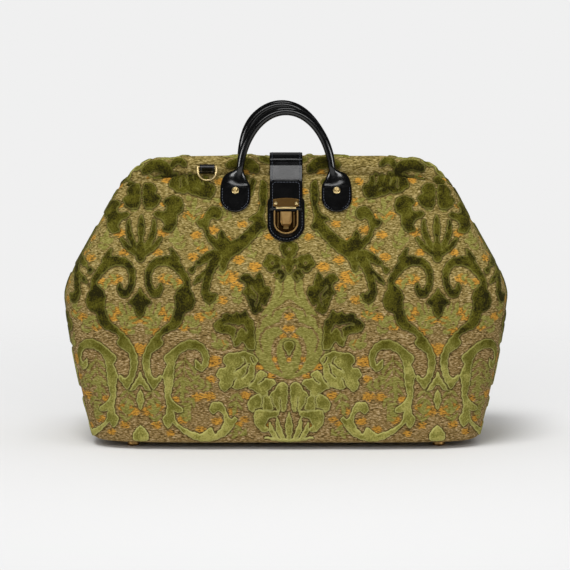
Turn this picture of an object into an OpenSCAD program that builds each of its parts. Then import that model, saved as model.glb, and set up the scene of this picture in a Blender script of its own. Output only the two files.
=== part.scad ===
// Hinged-frame carpet travel bag, standing on its feet with its front towards -Y.
// Millimetres, +Z up, origin on the floor under the middle of the bag.

/* [Bag] */
// Widest part of the bag, at the height of the hinge pins
bag_w = 520; // [480:2:580]
// Width of the bottom
base_w = 454; // [420:2:480]
// Width across the shoulders under the top rolls
shoulder_w = 378; // [340:2:400]
// Depth of the bottom
base_d = 194; // [180:2:230]
// Depth at the height of the hinge pins
hinge_d = 200; // [190:2:230]
// How far front and back belly out between bottom and hinge
belly = 7; // [3:0.5:12]
// Height of the hinge pins above the floor
hinge_z = 186; // [170:2:210]
// Height of the seam under the top rolls
seam_z = 318; // [304:2:340]
// Squareness of the bag seen from above, 2 is an ellipse
plan_power = 5; // [4:0.5:7]
// Rounding of the bottom edge
edge_r = 8; // [6:0.5:12]

/* [Cloth] */
// Thickness of the carpet cloth with its padding
cloth_t = 3; // [2:0.25:4]
// Thickness of the lining
lining_t = 0.8; // [0.6:0.1:1.2]
// Height of the woven pile over the ground of the cloth
pile_h = 1.6; // [0.8:0.1:2.4]
// One step of the sheet that the woven pattern is drawn on
pattern_step = 1; // [0.94:0.02:1.04]
// How far the moving top tucks inside the lower bag at the front and back
tuck_y = 5.5; // [5:0.5:8]
// How far the moving top tucks inside the lower bag at the sides
tuck_x = 12; // [11:0.5:16]

/* [Frame] */
// Diameter of the steel frame rod
rod_d = 6; // [5:0.5:7]
// Diameter of the cloth roll sewn round the frame
roll_d = 20; // [18:0.5:24]
// Bend radius at the shoulders of the frame
bend_r = 32; // [28:1:40]
// Distance of the frame rod from the widest side
rod_inset = 24; // [22:1:30]
// Diameter of the hinge pin
pin_d = 5; // [4:0.5:6]
// Thickness of the hinge eyes
eye_t = 2.6; // [2:0.1:3]

/* [Base] */
// Height of the feet
foot_h = 8; // [6:0.5:12]
// Diameter of the feet
foot_d = 15; // [12:0.5:20]
// Thickness of the stiffening board
board_t = 4; // [3:0.5:6]
// Distance of the feet from the ends of the bottom
foot_inset_x = 46; // [40:1:60]
// Distance of the feet from the front and back of the bottom
foot_inset_y = 32; // [28:1:45]

/* [Handles] */
// Diameter of the rolled handle
handle_d = 11; // [9:0.5:12]
// Half the distance between the legs of the handle arch
arch_r = 51.5; // [48:0.5:56]
// Height of the top of the handle
handle_z = 398.5; // [394:0.5:410]
// Half the distance between the two tabs of a handle
tab_x = 60; // [58:0.5:66]
// Width of a handle tab
tab_w = 36; // [32:0.5:40]
// Thickness of a handle tab
tab_t = 3.5; // [2.5:0.25:4]
// Distance of a tab's rivet down the slope from the seam
tab_rivet_s = 23; // [22:0.5:26]

/* [Strap and lock] */
// Width of the closing strap
strap_w = 39; // [34:0.5:42]
// Thickness of the strap leather
strap_t = 2.5; // [2:0.1:3]
// Length of the strap down the rear slope
strap_tail = 56; // [48:1:64]
// Length of the strap flap down the front slope
flap_s = 49; // [46:0.5:52]
// Width of the patch under the lock
patch_w = 44; // [42:0.5:48]
// Width of the lock body
lock_w = 29; // [26:0.5:31]
// Length of the lock body
lock_l = 30; // [28:0.5:34]
// Height of the lock rim over the patch
lock_h = 6; // [5:0.25:7]
// Travel of the thumb catch
catch_travel = 3; // [2:0.25:3.5]

/* [Rings] */
// Place of the front ring along the bag
ring_x = -93.6; // [-104:0.2:-92]
// Inner width of the D-ring
ring_in_w = 19.5; // [18.5:0.5:21]
// Wire diameter of the D-ring
wire_d = 2.5; // [2:0.1:3]
// Straight part of the D-ring's sides
ring_leg = 5; // [3:0.5:7]
// Width of the leather loop
loop_w = 18; // [15:0.5:18]

/* [Hidden] */
$fn = 48;

carpet_ground = "#8F7A5A";
carpet_pile = "#66752F";
lining_cloth = "#3B3A2C";
leather = "#17181A";
steel = "#8E9296";
brass = "#A8905A";
board_brown = "#7A5C3C";

gap = 0.3;
running_fit = 0.05;
roll_r = roll_d / 2;
rod_r = rod_d / 2;
pin_r = pin_d / 2;
handle_r = handle_d / 2;
wire_r = wire_d / 2;

// The two rolls lie side by side over the seam line
roll_y = roll_r + 0.4;
roll_z = seam_z + roll_r;
// The panel's top edge stands outside the roll's centre line
seam_y = roll_y + 0.66 * roll_r;

// The frame leg runs parallel to the side slope and meets the pin at its foot
upper_half_w = bag_w / 2 - tuck_x;
upper_half_d = hinge_d / 2 - tuck_y;
leg_a = atan((upper_half_w - shoulder_w / 2) / (seam_z - hinge_z));
pin_x = bag_w / 2 - rod_inset;
bend_z = roll_z - bend_r;
leg_top_z = bend_z + bend_r * sin(leg_a);
leg_top_x = pin_x - (leg_top_z - hinge_z) * tan(leg_a);
bar_half = leg_top_x - bend_r * cos(leg_a);

// Slope of the upper front from the vertical
slope_a = atan((upper_half_d - seam_y) / (seam_z - hinge_z));

// The slit between the two moving tops and the split at the hinge height
slit = 0.6;
split = 3;
// The seam falls towards the shoulders, round the end of the roll
seam_drop = 48;

function mix(p, q, u) = p + (q - p) * u;

// Plan outline: a point at the turn angle t, 0 is the right side and 90 the front
function plan(a, b, t) =
    let (c = cos(t), s = sin(t), q = pow(pow(abs(c), plan_power) + pow(abs(s), plan_power), 1 / plan_power))
    [a * c / q, -b * s / q];

// Half width and half depth of the lower bag, outside, at the height z
function lower_u(z) = (z - foot_h) / (hinge_z - foot_h);
function hem(z) =
    let (d = z - foot_h)
    d >= edge_r ? 0 : edge_r - sqrt(edge_r * edge_r - (edge_r - d) * (edge_r - d));
function lower_a(z) = mix(base_w, bag_w, 1 - pow(1 - lower_u(z), 1.25)) / 2 - hem(z);
function lower_b(z) =
    let (u = lower_u(z))
    mix(base_d, hinge_d, u) / 2 + 4 * belly * u * (1 - u) - hem(z);

// Half width and half depth of the moving top, outside, at the height z
function upper_u(z) = (z - hinge_z) / (seam_z - hinge_z);
function upper_a(z) = mix(upper_half_w, shoulder_w / 2, upper_u(z));
function upper_b(z) = mix(upper_half_d, seam_y, upper_u(z));
function upper_top(t) = seam_z - seam_drop * pow(abs(cos(t)), 5);

lower_levels = concat(
    [for (a = [0 : 30 : 90]) foot_h + edge_r * (1 - cos(a))],
    [for (i = [1 : 6]) mix(foot_h + edge_r, hinge_z, i / 6)]
);
upper_rows = 8;

function lower_point(t, z, inset) =
    let (p = plan(lower_a(z) - inset, lower_b(z) - inset, t))
    [p[0], p[1], z];
function upper_point(t, w, inset) =
    let (z = mix(hinge_z + split, upper_top(t), w))
    let (p = plan(upper_a(z) - inset, upper_b(z) - inset, t))
    [p[0], p[1] - slit / 2, z];

function flat(rows) = [for (row = rows) for (p = row) p];

// A sheet with thickness between an outer and an inner grid of points
module sheet(outer, inner) {
    n = len(outer);
    m = len(outer[0]);
    o = n * m;
    faces = concat(
        [for (i = [0 : n - 2]) for (j = [0 : m - 2]) each [
            [i * m + j, i * m + j + 1, (i + 1) * m + j + 1],
            [i * m + j, (i + 1) * m + j + 1, (i + 1) * m + j],
            [o + i * m + j, o + (i + 1) * m + j + 1, o + i * m + j + 1],
            [o + i * m + j, o + (i + 1) * m + j, o + (i + 1) * m + j + 1]
        ]],
        [for (j = [0 : m - 2]) let (k = (n - 1) * m + j) each [
            [j + 1, j, o + j],
            [j + 1, o + j, o + j + 1],
            [k, k + 1, o + k + 1],
            [k, o + k + 1, o + k]
        ]],
        [for (i = [0 : n - 2]) let (k = i * m, l = i * m + m - 1) each [
            [k, k + m, o + k + m],
            [k, o + k + m, o + k],
            [l + m, l, o + l],
            [l + m, o + l, o + l + m]
        ]]
    );
    polyhedron(concat(flat(outer), flat(inner)), faces, convexity = 8);
}

// A closed skin over a list of loops, each turning the same way
module skin(loops) {
    n = len(loops);
    m = len(loops[0]);
    sides = [for (k = [0 : n - 2]) for (j = [0 : m - 1]) let (e = (j + 1) % m) each [
        [k * m + j, (k + 1) * m + j, (k + 1) * m + e],
        [k * m + j, (k + 1) * m + e, k * m + e]
    ]];
    ends = [[for (j = [0 : m - 1]) j], [for (j = [m - 1 : -1 : 0]) (n - 1) * m + j]];
    polyhedron(flat(loops), concat(sides, ends), convexity = 8);
}

// Turns a front piece into the matching rear piece
module at_rear() {
    rotate([0, 0, 180]) children();
}

// Stands on the front slope at the distance s down from the seam, z pointing out of the bag
module on_slope(x, s) {
    y = -seam_y - slit / 2 - s * sin(slope_a);
    z = seam_z - s * cos(slope_a);
    translate([x, y, z]) rotate([90 - slope_a, 0, 0]) children();
}

// A point of the YZ profile on the front slope, s down from the seam and h out of it
function slope_yz(s, h) = [
    -seam_y - slit / 2 - s * sin(slope_a) - h * cos(slope_a),
    seam_z - s * cos(slope_a) + h * sin(slope_a)
];

// Extrudes a YZ profile along X, middle at x
module along_x(x, w) {
    translate([x - w / 2, 0, 0]) rotate([90, 0, 90]) linear_extrude(w) children();
}

// Bottom of the bag

base_edge = edge_r + cloth_t + 3 * gap;
module base_outline(inset) {
    polygon([for (t = [0 : 5 : 355]) plan(base_w / 2 - inset, base_d / 2 - inset, t)]);
}

shank_r = 2;
module foot_places() {
    for (x = [-1, 1], y = [-1, 1])
        translate([x * (base_w / 2 - foot_inset_x), y * (base_d / 2 - foot_inset_y), 0]) children();
}

module base_panel() {
    color(carpet_ground) difference() {
        translate([0, 0, foot_h]) linear_extrude(cloth_t) base_outline(base_edge);
        foot_places() cylinder(r = shank_r + running_fit, h = foot_h + 2 * cloth_t);
    }
}

board_z = foot_h + cloth_t;
module base_board() {
    color(board_brown) difference() {
        translate([0, 0, board_z]) linear_extrude(board_t) base_outline(base_edge + 1);
        foot_places() cylinder(r = shank_r + running_fit, h = board_z + 2 * board_t);
    }
}

foot_round = 2.5;
module feet() {
    color(brass) foot_places() {
        rotate_extrude() {
            square([foot_d / 2 - foot_round, foot_h]);
            translate([0, foot_round]) square([foot_d / 2, foot_h - foot_round]);
            translate([foot_d / 2 - foot_round, foot_round]) circle(r = foot_round);
        }
        cylinder(r = shank_r, h = board_z + board_t - 0.5);
    }
}

// Lower walls, each from seam to seam

corner_t = 45;
module lower_wall(t0, t1, parts) {
    ts = [for (i = [0 : parts]) mix(t0, t1, i / parts)];
    sheet(
        [for (z = lower_levels) [for (t = ts) lower_point(t, z, 0)]],
        [for (z = lower_levels) [for (t = ts) lower_point(t, z, cloth_t)]]
    );
}

module front_panel() {
    color(carpet_ground) lower_wall(corner_t, 180 - corner_t, 14);
}

module rear_panel() {
    color(carpet_ground) at_rear() lower_wall(corner_t, 180 - corner_t, 14);
}

module right_gusset() {
    color(carpet_ground) lower_wall(-corner_t, corner_t, 12);
}

module left_gusset() {
    color(carpet_ground) at_rear() lower_wall(-corner_t, corner_t, 12);
}

// Lining of the lower bag: a loose tub that lies on the board

lining_out = cloth_t + 2 * gap;
lining_in = lining_out + lining_t;
lining_floor = board_z + board_t;
lining_levels = [for (i = [0 : 7]) mix(lining_floor, hinge_z - 1, i / 7)];
function tub_loop(z, inset) =
    [for (t = [0 : -7.5 : -352.5]) let (p = lower_point(t, z, inset)) p];

module lining() {
    inner_levels = [for (i = [7 : -1 : 0]) mix(lining_floor + lining_t, hinge_z - 1, i / 7)];
    color(lining_cloth) skin(concat(
        [for (z = lining_levels) tub_loop(z, lining_out)],
        [for (z = inner_levels) tub_loop(z, lining_in)]
    ));
}

// Steel frames, hinged on a pin at each side

// The bends are a hair thicker than the straight lengths, which run a little way into them
bend_over = 0.05;
bend_lap = 0.5;
module frame_path(r, legs) {
    rotate([0, 90, 0]) cylinder(r = r, h = 2 * (bar_half + bend_lap), center = true);
    for (side = [0, 1]) mirror([side, 0, 0]) {
        translate([bar_half, 0, -bend_r])
            rotate([90, 0, 0]) rotate([0, 0, leg_a])
                rotate_extrude(angle = 90 - leg_a) translate([bend_r, 0]) circle(r = r + bend_over);
        if (legs)
            translate([leg_top_x, 0, leg_top_z - roll_z]) rotate([0, 180 - leg_a, 0])
                translate([0, 0, -bend_lap])
                    cylinder(r = r, h = (leg_top_z - hinge_z) / cos(leg_a) + bend_lap);
    }
}

eye_r = pin_r + 4;
eye_step = eye_t / 2 + gap;
module frame(layer) {
    difference() {
        union() {
            translate([0, -roll_y, roll_z]) frame_path(rod_r, true);
            for (side = [-1, 1])
                translate([side * (pin_x + layer * eye_step), 0, hinge_z]) rotate([0, 90, 0]) {
                    cylinder(r = eye_r, h = eye_t, center = true);
                    translate([0, -roll_y / 2, 0]) cube([2 * pin_r + 3, roll_y, eye_t], center = true);
                }
        }
        translate([0, 0, hinge_z]) rotate([0, 90, 0])
            cylinder(r = pin_r + running_fit, h = 2 * bag_w, center = true);
    }
}

module front_frame() {
    color(steel) frame(-1);
}

module rear_frame() {
    color(steel) at_rear() frame(1);
}

// Each pin has a head inside and a flange outside that is sewn to the side of the lining
pin_head_t = 1.5;
flange_r = 8;
flange_t = 1.4;
flange_x = lower_a(hinge_z - flange_r) - lining_in - 2 * gap;
module hinge_pins() {
    head_x = pin_x - eye_step - eye_t / 2 - gap;
    color(steel) for (side = [-1, 1])
        translate([0, 0, hinge_z]) rotate([0, side * 90, 0]) {
            translate([0, 0, head_x - pin_head_t]) cylinder(r = pin_r + 1.8, h = pin_head_t);
            translate([0, 0, head_x - 0.5]) cylinder(r = pin_r, h = flange_x - head_x);
            translate([0, 0, flange_x - flange_t]) cylinder(r = flange_r, h = flange_t);
        }
}

// Moving top: upper half of each panel with the two half sides, its lining and its roll

upper_parts = 24;
module upper_wall(out, t_wall) {
    ts = [for (i = [0 : upper_parts]) 180 * i / upper_parts];
    ws = [for (i = [0 : upper_rows]) i / upper_rows];
    sheet(
        [for (w = ws) [for (t = ts) upper_point(t, w, out)]],
        [for (w = ws) [for (t = ts) upper_point(t, w, out + t_wall)]]
    );
}

module front_panel_upper() {
    color(carpet_ground) upper_wall(0, cloth_t);
}

module rear_panel_upper() {
    color(carpet_ground) at_rear() upper_wall(0, cloth_t);
}

module front_lining() {
    color(lining_cloth) upper_wall(lining_out, lining_t);
}

module rear_lining() {
    color(lining_cloth) at_rear() upper_wall(lining_out, lining_t);
}

module roll() {
    difference() {
        translate([0, -roll_y, roll_z]) frame_path(roll_r, false);
        translate([0, -roll_y, roll_z]) frame_path(rod_r + gap, true);
    }
}

module front_roll() {
    color(carpet_pile) roll();
}

module rear_roll() {
    color(carpet_pile) at_rear() roll();
}

// Handles: rolled leather arch with a flared tab at each end, riveted through the panel

handle_y = roll_y + roll_r + handle_r + 2;
arch_z = handle_z - handle_r - arch_r;
tab_lift = 0.5;
tab_drop = 9;
neck_up = 15;
module tab_outline() {
    translate([0, -tab_drop]) circle(d = tab_w);
    polygon([[-tab_w / 2, -tab_drop], [tab_w / 2, -tab_drop], [7, neck_up], [-7, neck_up]]);
}

module handle() {
    translate([0, -handle_y, arch_z]) rotate([90, 0, 0])
        rotate_extrude(angle = 180) translate([arch_r, 0]) circle(r = handle_r);
    for (side = [-1, 1]) {
        on_slope(side * tab_x, tab_rivet_s) translate([0, 0, tab_lift]) linear_extrude(tab_t) tab_outline();
        hull() {
            translate([side * arch_r, -handle_y, arch_z - 1]) cylinder(r = handle_r, h = 1, $fn = 32);
            on_slope(side * (tab_x - 2.5), tab_rivet_s - neck_up) translate([0, 0, tab_lift + 4])
                rotate([90, 0, 0]) cylinder(r = 4, h = 1, $fn = 32);
        }
        hull() {
            on_slope(side * (tab_x - 2.5), tab_rivet_s - neck_up) translate([0, 0, tab_lift + 4])
                rotate([90, 0, 0]) cylinder(r = 4, h = 1, $fn = 32);
            on_slope(side * tab_x, tab_rivet_s - 6) translate([0, 0, tab_lift + tab_t / 2])
                cube([18, 1, tab_t], center = true);
        }
    }
}

module front_handle() {
    color(leather) handle();
}

module rear_handle() {
    color(leather) at_rear() handle();
}

rivet_r = 4.6;
rivet_h = 1.6;
module rivet(r, h, reach) {
    difference() {
        cylinder(r = r, h = h);
        translate([0, 0, h / 2]) cylinder(r = r * 0.4, h = h);
    }
    translate([0, 0, -reach]) cylinder(r = r * 0.35, h = reach + 0.1);
}

module handle_rivets() {
    reach = tab_lift + tab_t + lining_in + 1;
    for (side = [-1, 1])
        on_slope(side * tab_x, tab_rivet_s) translate([0, 0, tab_lift + tab_t]) {
            rivet(rivet_r, rivet_h, reach);
            translate([0, 0, -reach - 1]) cylinder(r = rivet_r, h = 1);
        }
}

module front_handle_rivets() {
    color(brass) handle_rivets();
}

module rear_handle_rivets() {
    color(brass) at_rear() handle_rivets();
}

// Closing strap: sewn to the rear slope, over both rolls, and a flap that hangs to the lock

strap_in = roll_r + 0.5;
strap_out = strap_in + strap_t;
strap_lift = 0.5;
// The strap leaves the rolls this far down the slope
strap_start_s = 10;
fold_a = 128;
function round_roll(y, r, a) = [y + r * cos(a), roll_z + r * sin(a)];
function rear_side(p) = [-p[0], p[1]];

module strap() {
    color(leather) along_x(0, strap_w) polygon(concat(
        [rear_side(slope_yz(strap_tail, strap_lift)), rear_side(slope_yz(strap_start_s, strap_lift))],
        [for (a = [0 : 15 : 90]) round_roll(roll_y, strap_in, a)],
        [for (a = [90 : 9.5 : fold_a]) round_roll(-roll_y, strap_in, a)],
        [for (a = [fold_a : -9.5 : 90]) round_roll(-roll_y, strap_out, a)],
        [for (a = [90 : -15 : 0]) round_roll(roll_y, strap_out, a)],
        [for (s = [strap_start_s, strap_tail]) rear_side(slope_yz(s, strap_lift + strap_t))]
    ));
}

patch_t = 2;
end_t = 2;
patch_top_s = 41;
// The flap lies on the slope and steps up where it covers the top of the patch
step_l = 6;
step_s = patch_top_s - step_l - 1;
function flap_h(s) = strap_lift + (patch_t + gap) * min(1, max(0, (s - step_s) / step_l));
flap_stations = [strap_start_s, (strap_start_s + step_s) / 2, step_s, step_s + step_l, flap_s];

module strap_flap() {
    first = fold_a + 2;
    color(leather) along_x(0, strap_w) polygon(concat(
        [for (i = [0 : 5]) round_roll(-roll_y, strap_in, mix(first, 180, i / 5))],
        [for (s = flap_stations) slope_yz(s, flap_h(s))],
        [for (i = [4 : -1 : 0]) let (s = flap_stations[i]) slope_yz(s, flap_h(s) + strap_t)],
        [for (i = [5 : -1 : 0]) round_roll(-roll_y, strap_out, mix(first, 180, i / 5))]
    ));
}

end_w = strap_w - 1;
end_s = 11;
end_round = 6;
end_stations = [end_s, (strap_start_s + step_s) / 2, step_s, step_s + step_l, flap_s];
end_cut_h = 30;
module strap_end() {
    color(leather) intersection() {
        along_x(0, end_w) polygon(concat(
            [for (s = end_stations) slope_yz(s, flap_h(s) + strap_t)],
            [for (i = [4 : -1 : 0]) let (s = end_stations[i]) slope_yz(s, flap_h(s) + strap_t + end_t)]
        ));
        on_slope(0, flap_s) linear_extrude(end_cut_h) {
            translate([-end_w / 2, -2]) square([end_w, flap_s - end_s - end_round + 2]);
            translate([-end_w / 2 + end_round, 0]) square([end_w - 2 * end_round, flap_s - end_s]);
            for (side = [-1, 1])
                translate([side * (end_w / 2 - end_round), flap_s - end_s - end_round]) circle(r = end_round);
        }
    }
}

// Tuck lock: tongue plate on the strap, lock body on its patch

plate_w = 32;
plate_l = 13;
plate_t = 1.5;
plate_rivet_x = 12.2;
plate_rivet_s = 7;
tongue_w = 24;
barrel_r = 1.4;
plate_h = strap_lift + patch_t + gap + strap_t + end_t;
module tongue_plate() {
    color(brass) on_slope(0, flap_s) translate([0, 0, plate_h]) {
        difference() {
            linear_extrude(plate_t) {
                translate([-plate_w / 2, 3]) square([plate_w, plate_l - 3]);
                intersection() {
                    translate([-plate_w / 2, plate_l - 1]) square([plate_w, 3]);
                    translate([0, plate_l - 60]) circle(r = 61.5);
                }
            }
            for (side = [-1, 1])
                translate([side * plate_rivet_x, plate_rivet_s, -1])
                    cylinder(r = 1 + running_fit, h = plate_t + 2);
        }
        translate([-tongue_w / 2, barrel_r, barrel_r]) rotate([0, 90, 0])
            cylinder(r = barrel_r, h = tongue_w);
        translate([-tongue_w / 2, barrel_r, 0]) cube([tongue_w, 2 * barrel_r, plate_t]);
    }
}

module tongue_rivets() {
    color(brass) on_slope(0, flap_s) for (side = [-1, 1])
        translate([side * plate_rivet_x, plate_rivet_s, plate_h + plate_t]) {
            cylinder(r = 2.2, h = 0.9);
            translate([0, 0, -plate_t - end_t - strap_t])
                cylinder(r = 1, h = plate_t + end_t + strap_t + 0.1);
        }
}

patch_end_s = 88;
module lock_patch() {
    r = patch_w / 2;
    color(leather) on_slope(0, patch_end_s) translate([0, 0, strap_lift]) linear_extrude(patch_t) {
        translate([0, r]) circle(r = r);
        translate([-r, r]) square([patch_w, patch_end_s - patch_top_s - r]);
    }
}

lock_s = flap_s + 1.2;
lock_floor = 1.8;
rim_t = 1.8;
lock_lift = strap_lift + patch_t;
module lock_outline(inset) {
    r = lock_w / 2 - inset;
    translate([0, -lock_l + lock_w / 2]) circle(r = r);
    translate([-r, -lock_l + lock_w / 2]) square([2 * r, lock_l - lock_w / 2]);
}

module lock_body() {
    color(brass) on_slope(0, lock_s) translate([0, 0, lock_lift]) {
        linear_extrude(lock_floor) lock_outline(0);
        difference() {
            linear_extrude(lock_h) lock_outline(0);
            translate([0, 0, -1]) linear_extrude(lock_h + 2) lock_outline(rim_t);
            translate([-lock_w / 2 + rim_t, -2, -1]) cube([lock_w - 2 * rim_t, 4, lock_h + 2]);
        }
    }
}

catch_w = 13.5;
catch_l = 17;
catch_top = 1.8;
catch_lift = lock_lift + lock_floor + 0.9;
catch_h = 3.6;
module lock_catch() {
    color(brass) on_slope(0, lock_s + catch_top) translate([0, 0, catch_lift])
        along_x(0, catch_w) polygon([
            [0, 0], [0, catch_h - 0.6], [-0.6, catch_h],
            [-catch_l + 4, catch_h], [-catch_l, 1.2], [-catch_l, 0]
        ]);
}

spring_t = 0.5;
module lock_spring() {
    w = 6;
    color(steel) on_slope(0, lock_s + catch_top) translate([-w / 2, 0, lock_lift + lock_floor]) {
        translate([0, -catch_l - catch_travel - 2, 0]) cube([w, catch_l + catch_travel, spring_t]);
        translate([0, -catch_l - catch_travel - 2, 0]) cube([w, spring_t, 3]);
    }
}

module lock_back_plate() {
    color(steel) on_slope(0, lock_s + lock_l) translate([-lock_w / 2 + 1, 3, -lining_in - gap - 1])
        cube([lock_w - 2, lock_l - 4, 1]);
}

// D-rings, each on a leather loop sewn into the seam under the roll

bar_r = wire_r + 0.2;
loop_t = 1.5;
ring_y = roll_y + roll_r + bar_r + loop_t + 0.5;
ring_z = roll_z - 0.5;
ring_r = ring_in_w / 2 + wire_r;

module ring_loop() {
    color(leather) difference() {
        union() {
            translate([ring_x, -ring_y, ring_z]) rotate([0, 90, 0])
                cylinder(r = bar_r + loop_t, h = loop_w, center = true);
            along_x(ring_x, loop_w) polygon([
                [-ring_y - 0.8 * bar_r, ring_z - bar_r - 0.4], [-ring_y + 1.2 * bar_r, ring_z - bar_r - 0.4],
                [-seam_y - 0.8, seam_z + 0.8], [-seam_y - 3.2, seam_z + 0.4]
            ]);
        }
        translate([ring_x, -ring_y, ring_z]) rotate([0, 90, 0])
            cylinder(r = bar_r, h = 2 * loop_w, center = true);
    }
}

module front_ring_loop() {
    ring_loop();
}

module rear_ring_loop() {
    at_rear() ring_loop();
}

module d_ring() {
    color(brass) translate([ring_x, -ring_y, ring_z]) {
        rotate([0, 90, 0]) cylinder(r = wire_r, h = 2 * ring_r, center = true);
        for (side = [-1, 1]) translate([side * ring_r, 0, 0]) {
            sphere(r = wire_r);
            translate([0, 0, -ring_leg]) cylinder(r = wire_r, h = ring_leg);
        }
        translate([0, 0, -ring_leg]) rotate([-90, 0, 0])
            rotate_extrude(angle = 180) translate([ring_r, 0]) circle(r = wire_r);
    }
}

module front_ring() {
    d_ring();
}

module rear_ring() {
    at_rear() d_ring();
}

// Woven pile: the main leaves and scrolls of the damask, standing on the ground of the cloth

pile_root = 0.9;
// Strokes are drawn in pattern steps: across from the centre line, and up from the bottom or from the hinge
function on_cloth(steps, upper) = [for (c = steps)
    [c[0] * pattern_step, (upper ? hinge_z : foot_h) + c[1] * pattern_step, c[2] * pattern_step]];
module pile_stroke(steps, upper) {
    stations = on_cloth(steps, upper);
    n = len(stations);
    loops = [for (k = [0 : n - 1])
        let (
            c = stations[k],
            a = stations[max(k - 1, 0)],
            b = stations[min(k + 1, n - 1)],
            d = [b[0] - a[0], b[1] - a[1]] / norm([b[0] - a[0], b[1] - a[1]]),
            side = [-d[1], d[0]] * c[2] / 2
        )
        [
            cloth_point(c[0] + side[0], c[1] + side[1], -pile_root, upper),
            cloth_point(c[0] + side[0] * 0.75, c[1] + side[1] * 0.75, pile_h, upper),
            cloth_point(c[0] - side[0] * 0.75, c[1] - side[1] * 0.75, pile_h, upper),
            cloth_point(c[0] - side[0], c[1] - side[1], -pile_root, upper)
        ]
    ];
    skin(loops);
}

// A point h out of the cloth, seen from the front at x and z
function cloth_point(x, z, h, upper) =
    let (
        a = upper ? upper_a(z) : lower_a(z),
        b = upper ? upper_b(z) + slit / 2 : lower_b(z),
        y = b * pow(max(0.05, 1 - pow(min(1, abs(x) / a), plan_power)), 1 / plan_power)
    )
    upper ? [x, -y - h * cos(slope_a), z + h * sin(slope_a)] : [x, -y - h, z];

// A curl: stations round a centre from angle a0 to a1 while the radius goes from r0 to r1
function curl(x, z, r0, r1, a0, a1, w0, w1, n) = [for (i = [0 : n])
    let (u = i / n, r = mix(r0, r1, u), a = mix(a0, a1, u))
    [x + r * cos(a), z + r * sin(a), mix(w0, w1, u)]
];

// A leaf: stations from root to tip, bowed sideways, widest in the middle
function leaf(x0, z0, x1, z1, bow, w, n) = [for (i = [0 : n])
    let (u = i / n, d = [x1 - x0, z1 - z0], side = [-d[1], d[0]] / norm(d))
    [
        mix(x0, x1, u) + side[0] * bow * 4 * u * (1 - u),
        mix(z0, z1, u) + side[1] * bow * 4 * u * (1 - u),
        1.5 + (w - 1.5) * pow(sin(180 * min(1, 0.12 + 0.84 * u)), 0.8)
    ]
];

medallion_up = 110;
lower_strokes = [
    curl(0, medallion_up, 22, 22, 100, 262, 7, 7, 9),
    leaf(0.1, 90, 0.1, 132, 0, 15, 5),
    leaf(34, 84, 46, 158, -12, 20, 6),
    leaf(52, 104, 96, 152, 8, 18, 6),
    leaf(30, 66, 76, 80, 10, 20, 6),
    leaf(26, 52, 66, 42, -6, 16, 6),
    curl(112, 96, 34, 12, 60, 330, 15, 9, 12),
    curl(150, 52, 30, 10, 200, -60, 13, 8, 10),
    curl(196, 112, 26, 9, 250, -20, 13, 8, 10),
    leaf(150, 142, 176, 158, 4, 14, 5),
    leaf(8, 12, 62, 18, 6, 14, 6),
    leaf(84, 12, 130, 16, 5, 12, 6)
];
upper_strokes = [
    leaf(0.1, 10, 0.1, 40, 0, 14, 5),
    leaf(12, 12, 44, 36, 8, 16, 6),
    leaf(48, 12, 66, 54, -10, 18, 6),
    curl(100, 40, 30, 10, 240, 20, 13, 8, 10),
    leaf(162, 36, 162, 76, 0, 18, 5),
    leaf(150, 40, 128, 70, -8, 15, 6),
    leaf(172, 40, 190, 64, 8, 13, 6),
    curl(148, 18, 16, 7, 120, 330, 10, 7, 8),
    leaf(96, 110, 150, 104, -5, 11, 6)
];

module mirrored_strokes(strokes, upper) {
    for (side = [0, 1]) mirror([side, 0, 0])
        for (s = strokes) pile_stroke(s, upper);
}

module front_pile() {
    color(carpet_pile) mirrored_strokes(lower_strokes, false);
}

module rear_pile() {
    color(carpet_pile) at_rear() mirrored_strokes(lower_strokes, false);
}

module front_pile_upper() {
    color(carpet_pile) mirrored_strokes(upper_strokes, true);
}

module rear_pile_upper() {
    color(carpet_pile) at_rear() mirrored_strokes(upper_strokes, true);
}

base_panel();
base_board();
feet();
front_panel();
rear_panel();
left_gusset();
right_gusset();
lining();
front_pile();
rear_pile();
hinge_pins();
front_frame();
rear_frame();
front_panel_upper();
rear_panel_upper();
front_pile_upper();
rear_pile_upper();
front_lining();
rear_lining();
front_roll();
rear_roll();
front_handle();
rear_handle();
front_handle_rivets();
rear_handle_rivets();
strap();
strap_flap();
strap_end();
tongue_plate();
tongue_rivets();
lock_patch();
lock_body();
lock_spring();
lock_catch();
lock_back_plate();
front_ring_loop();
rear_ring_loop();
front_ring();
rear_ring();
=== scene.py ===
import math

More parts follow.
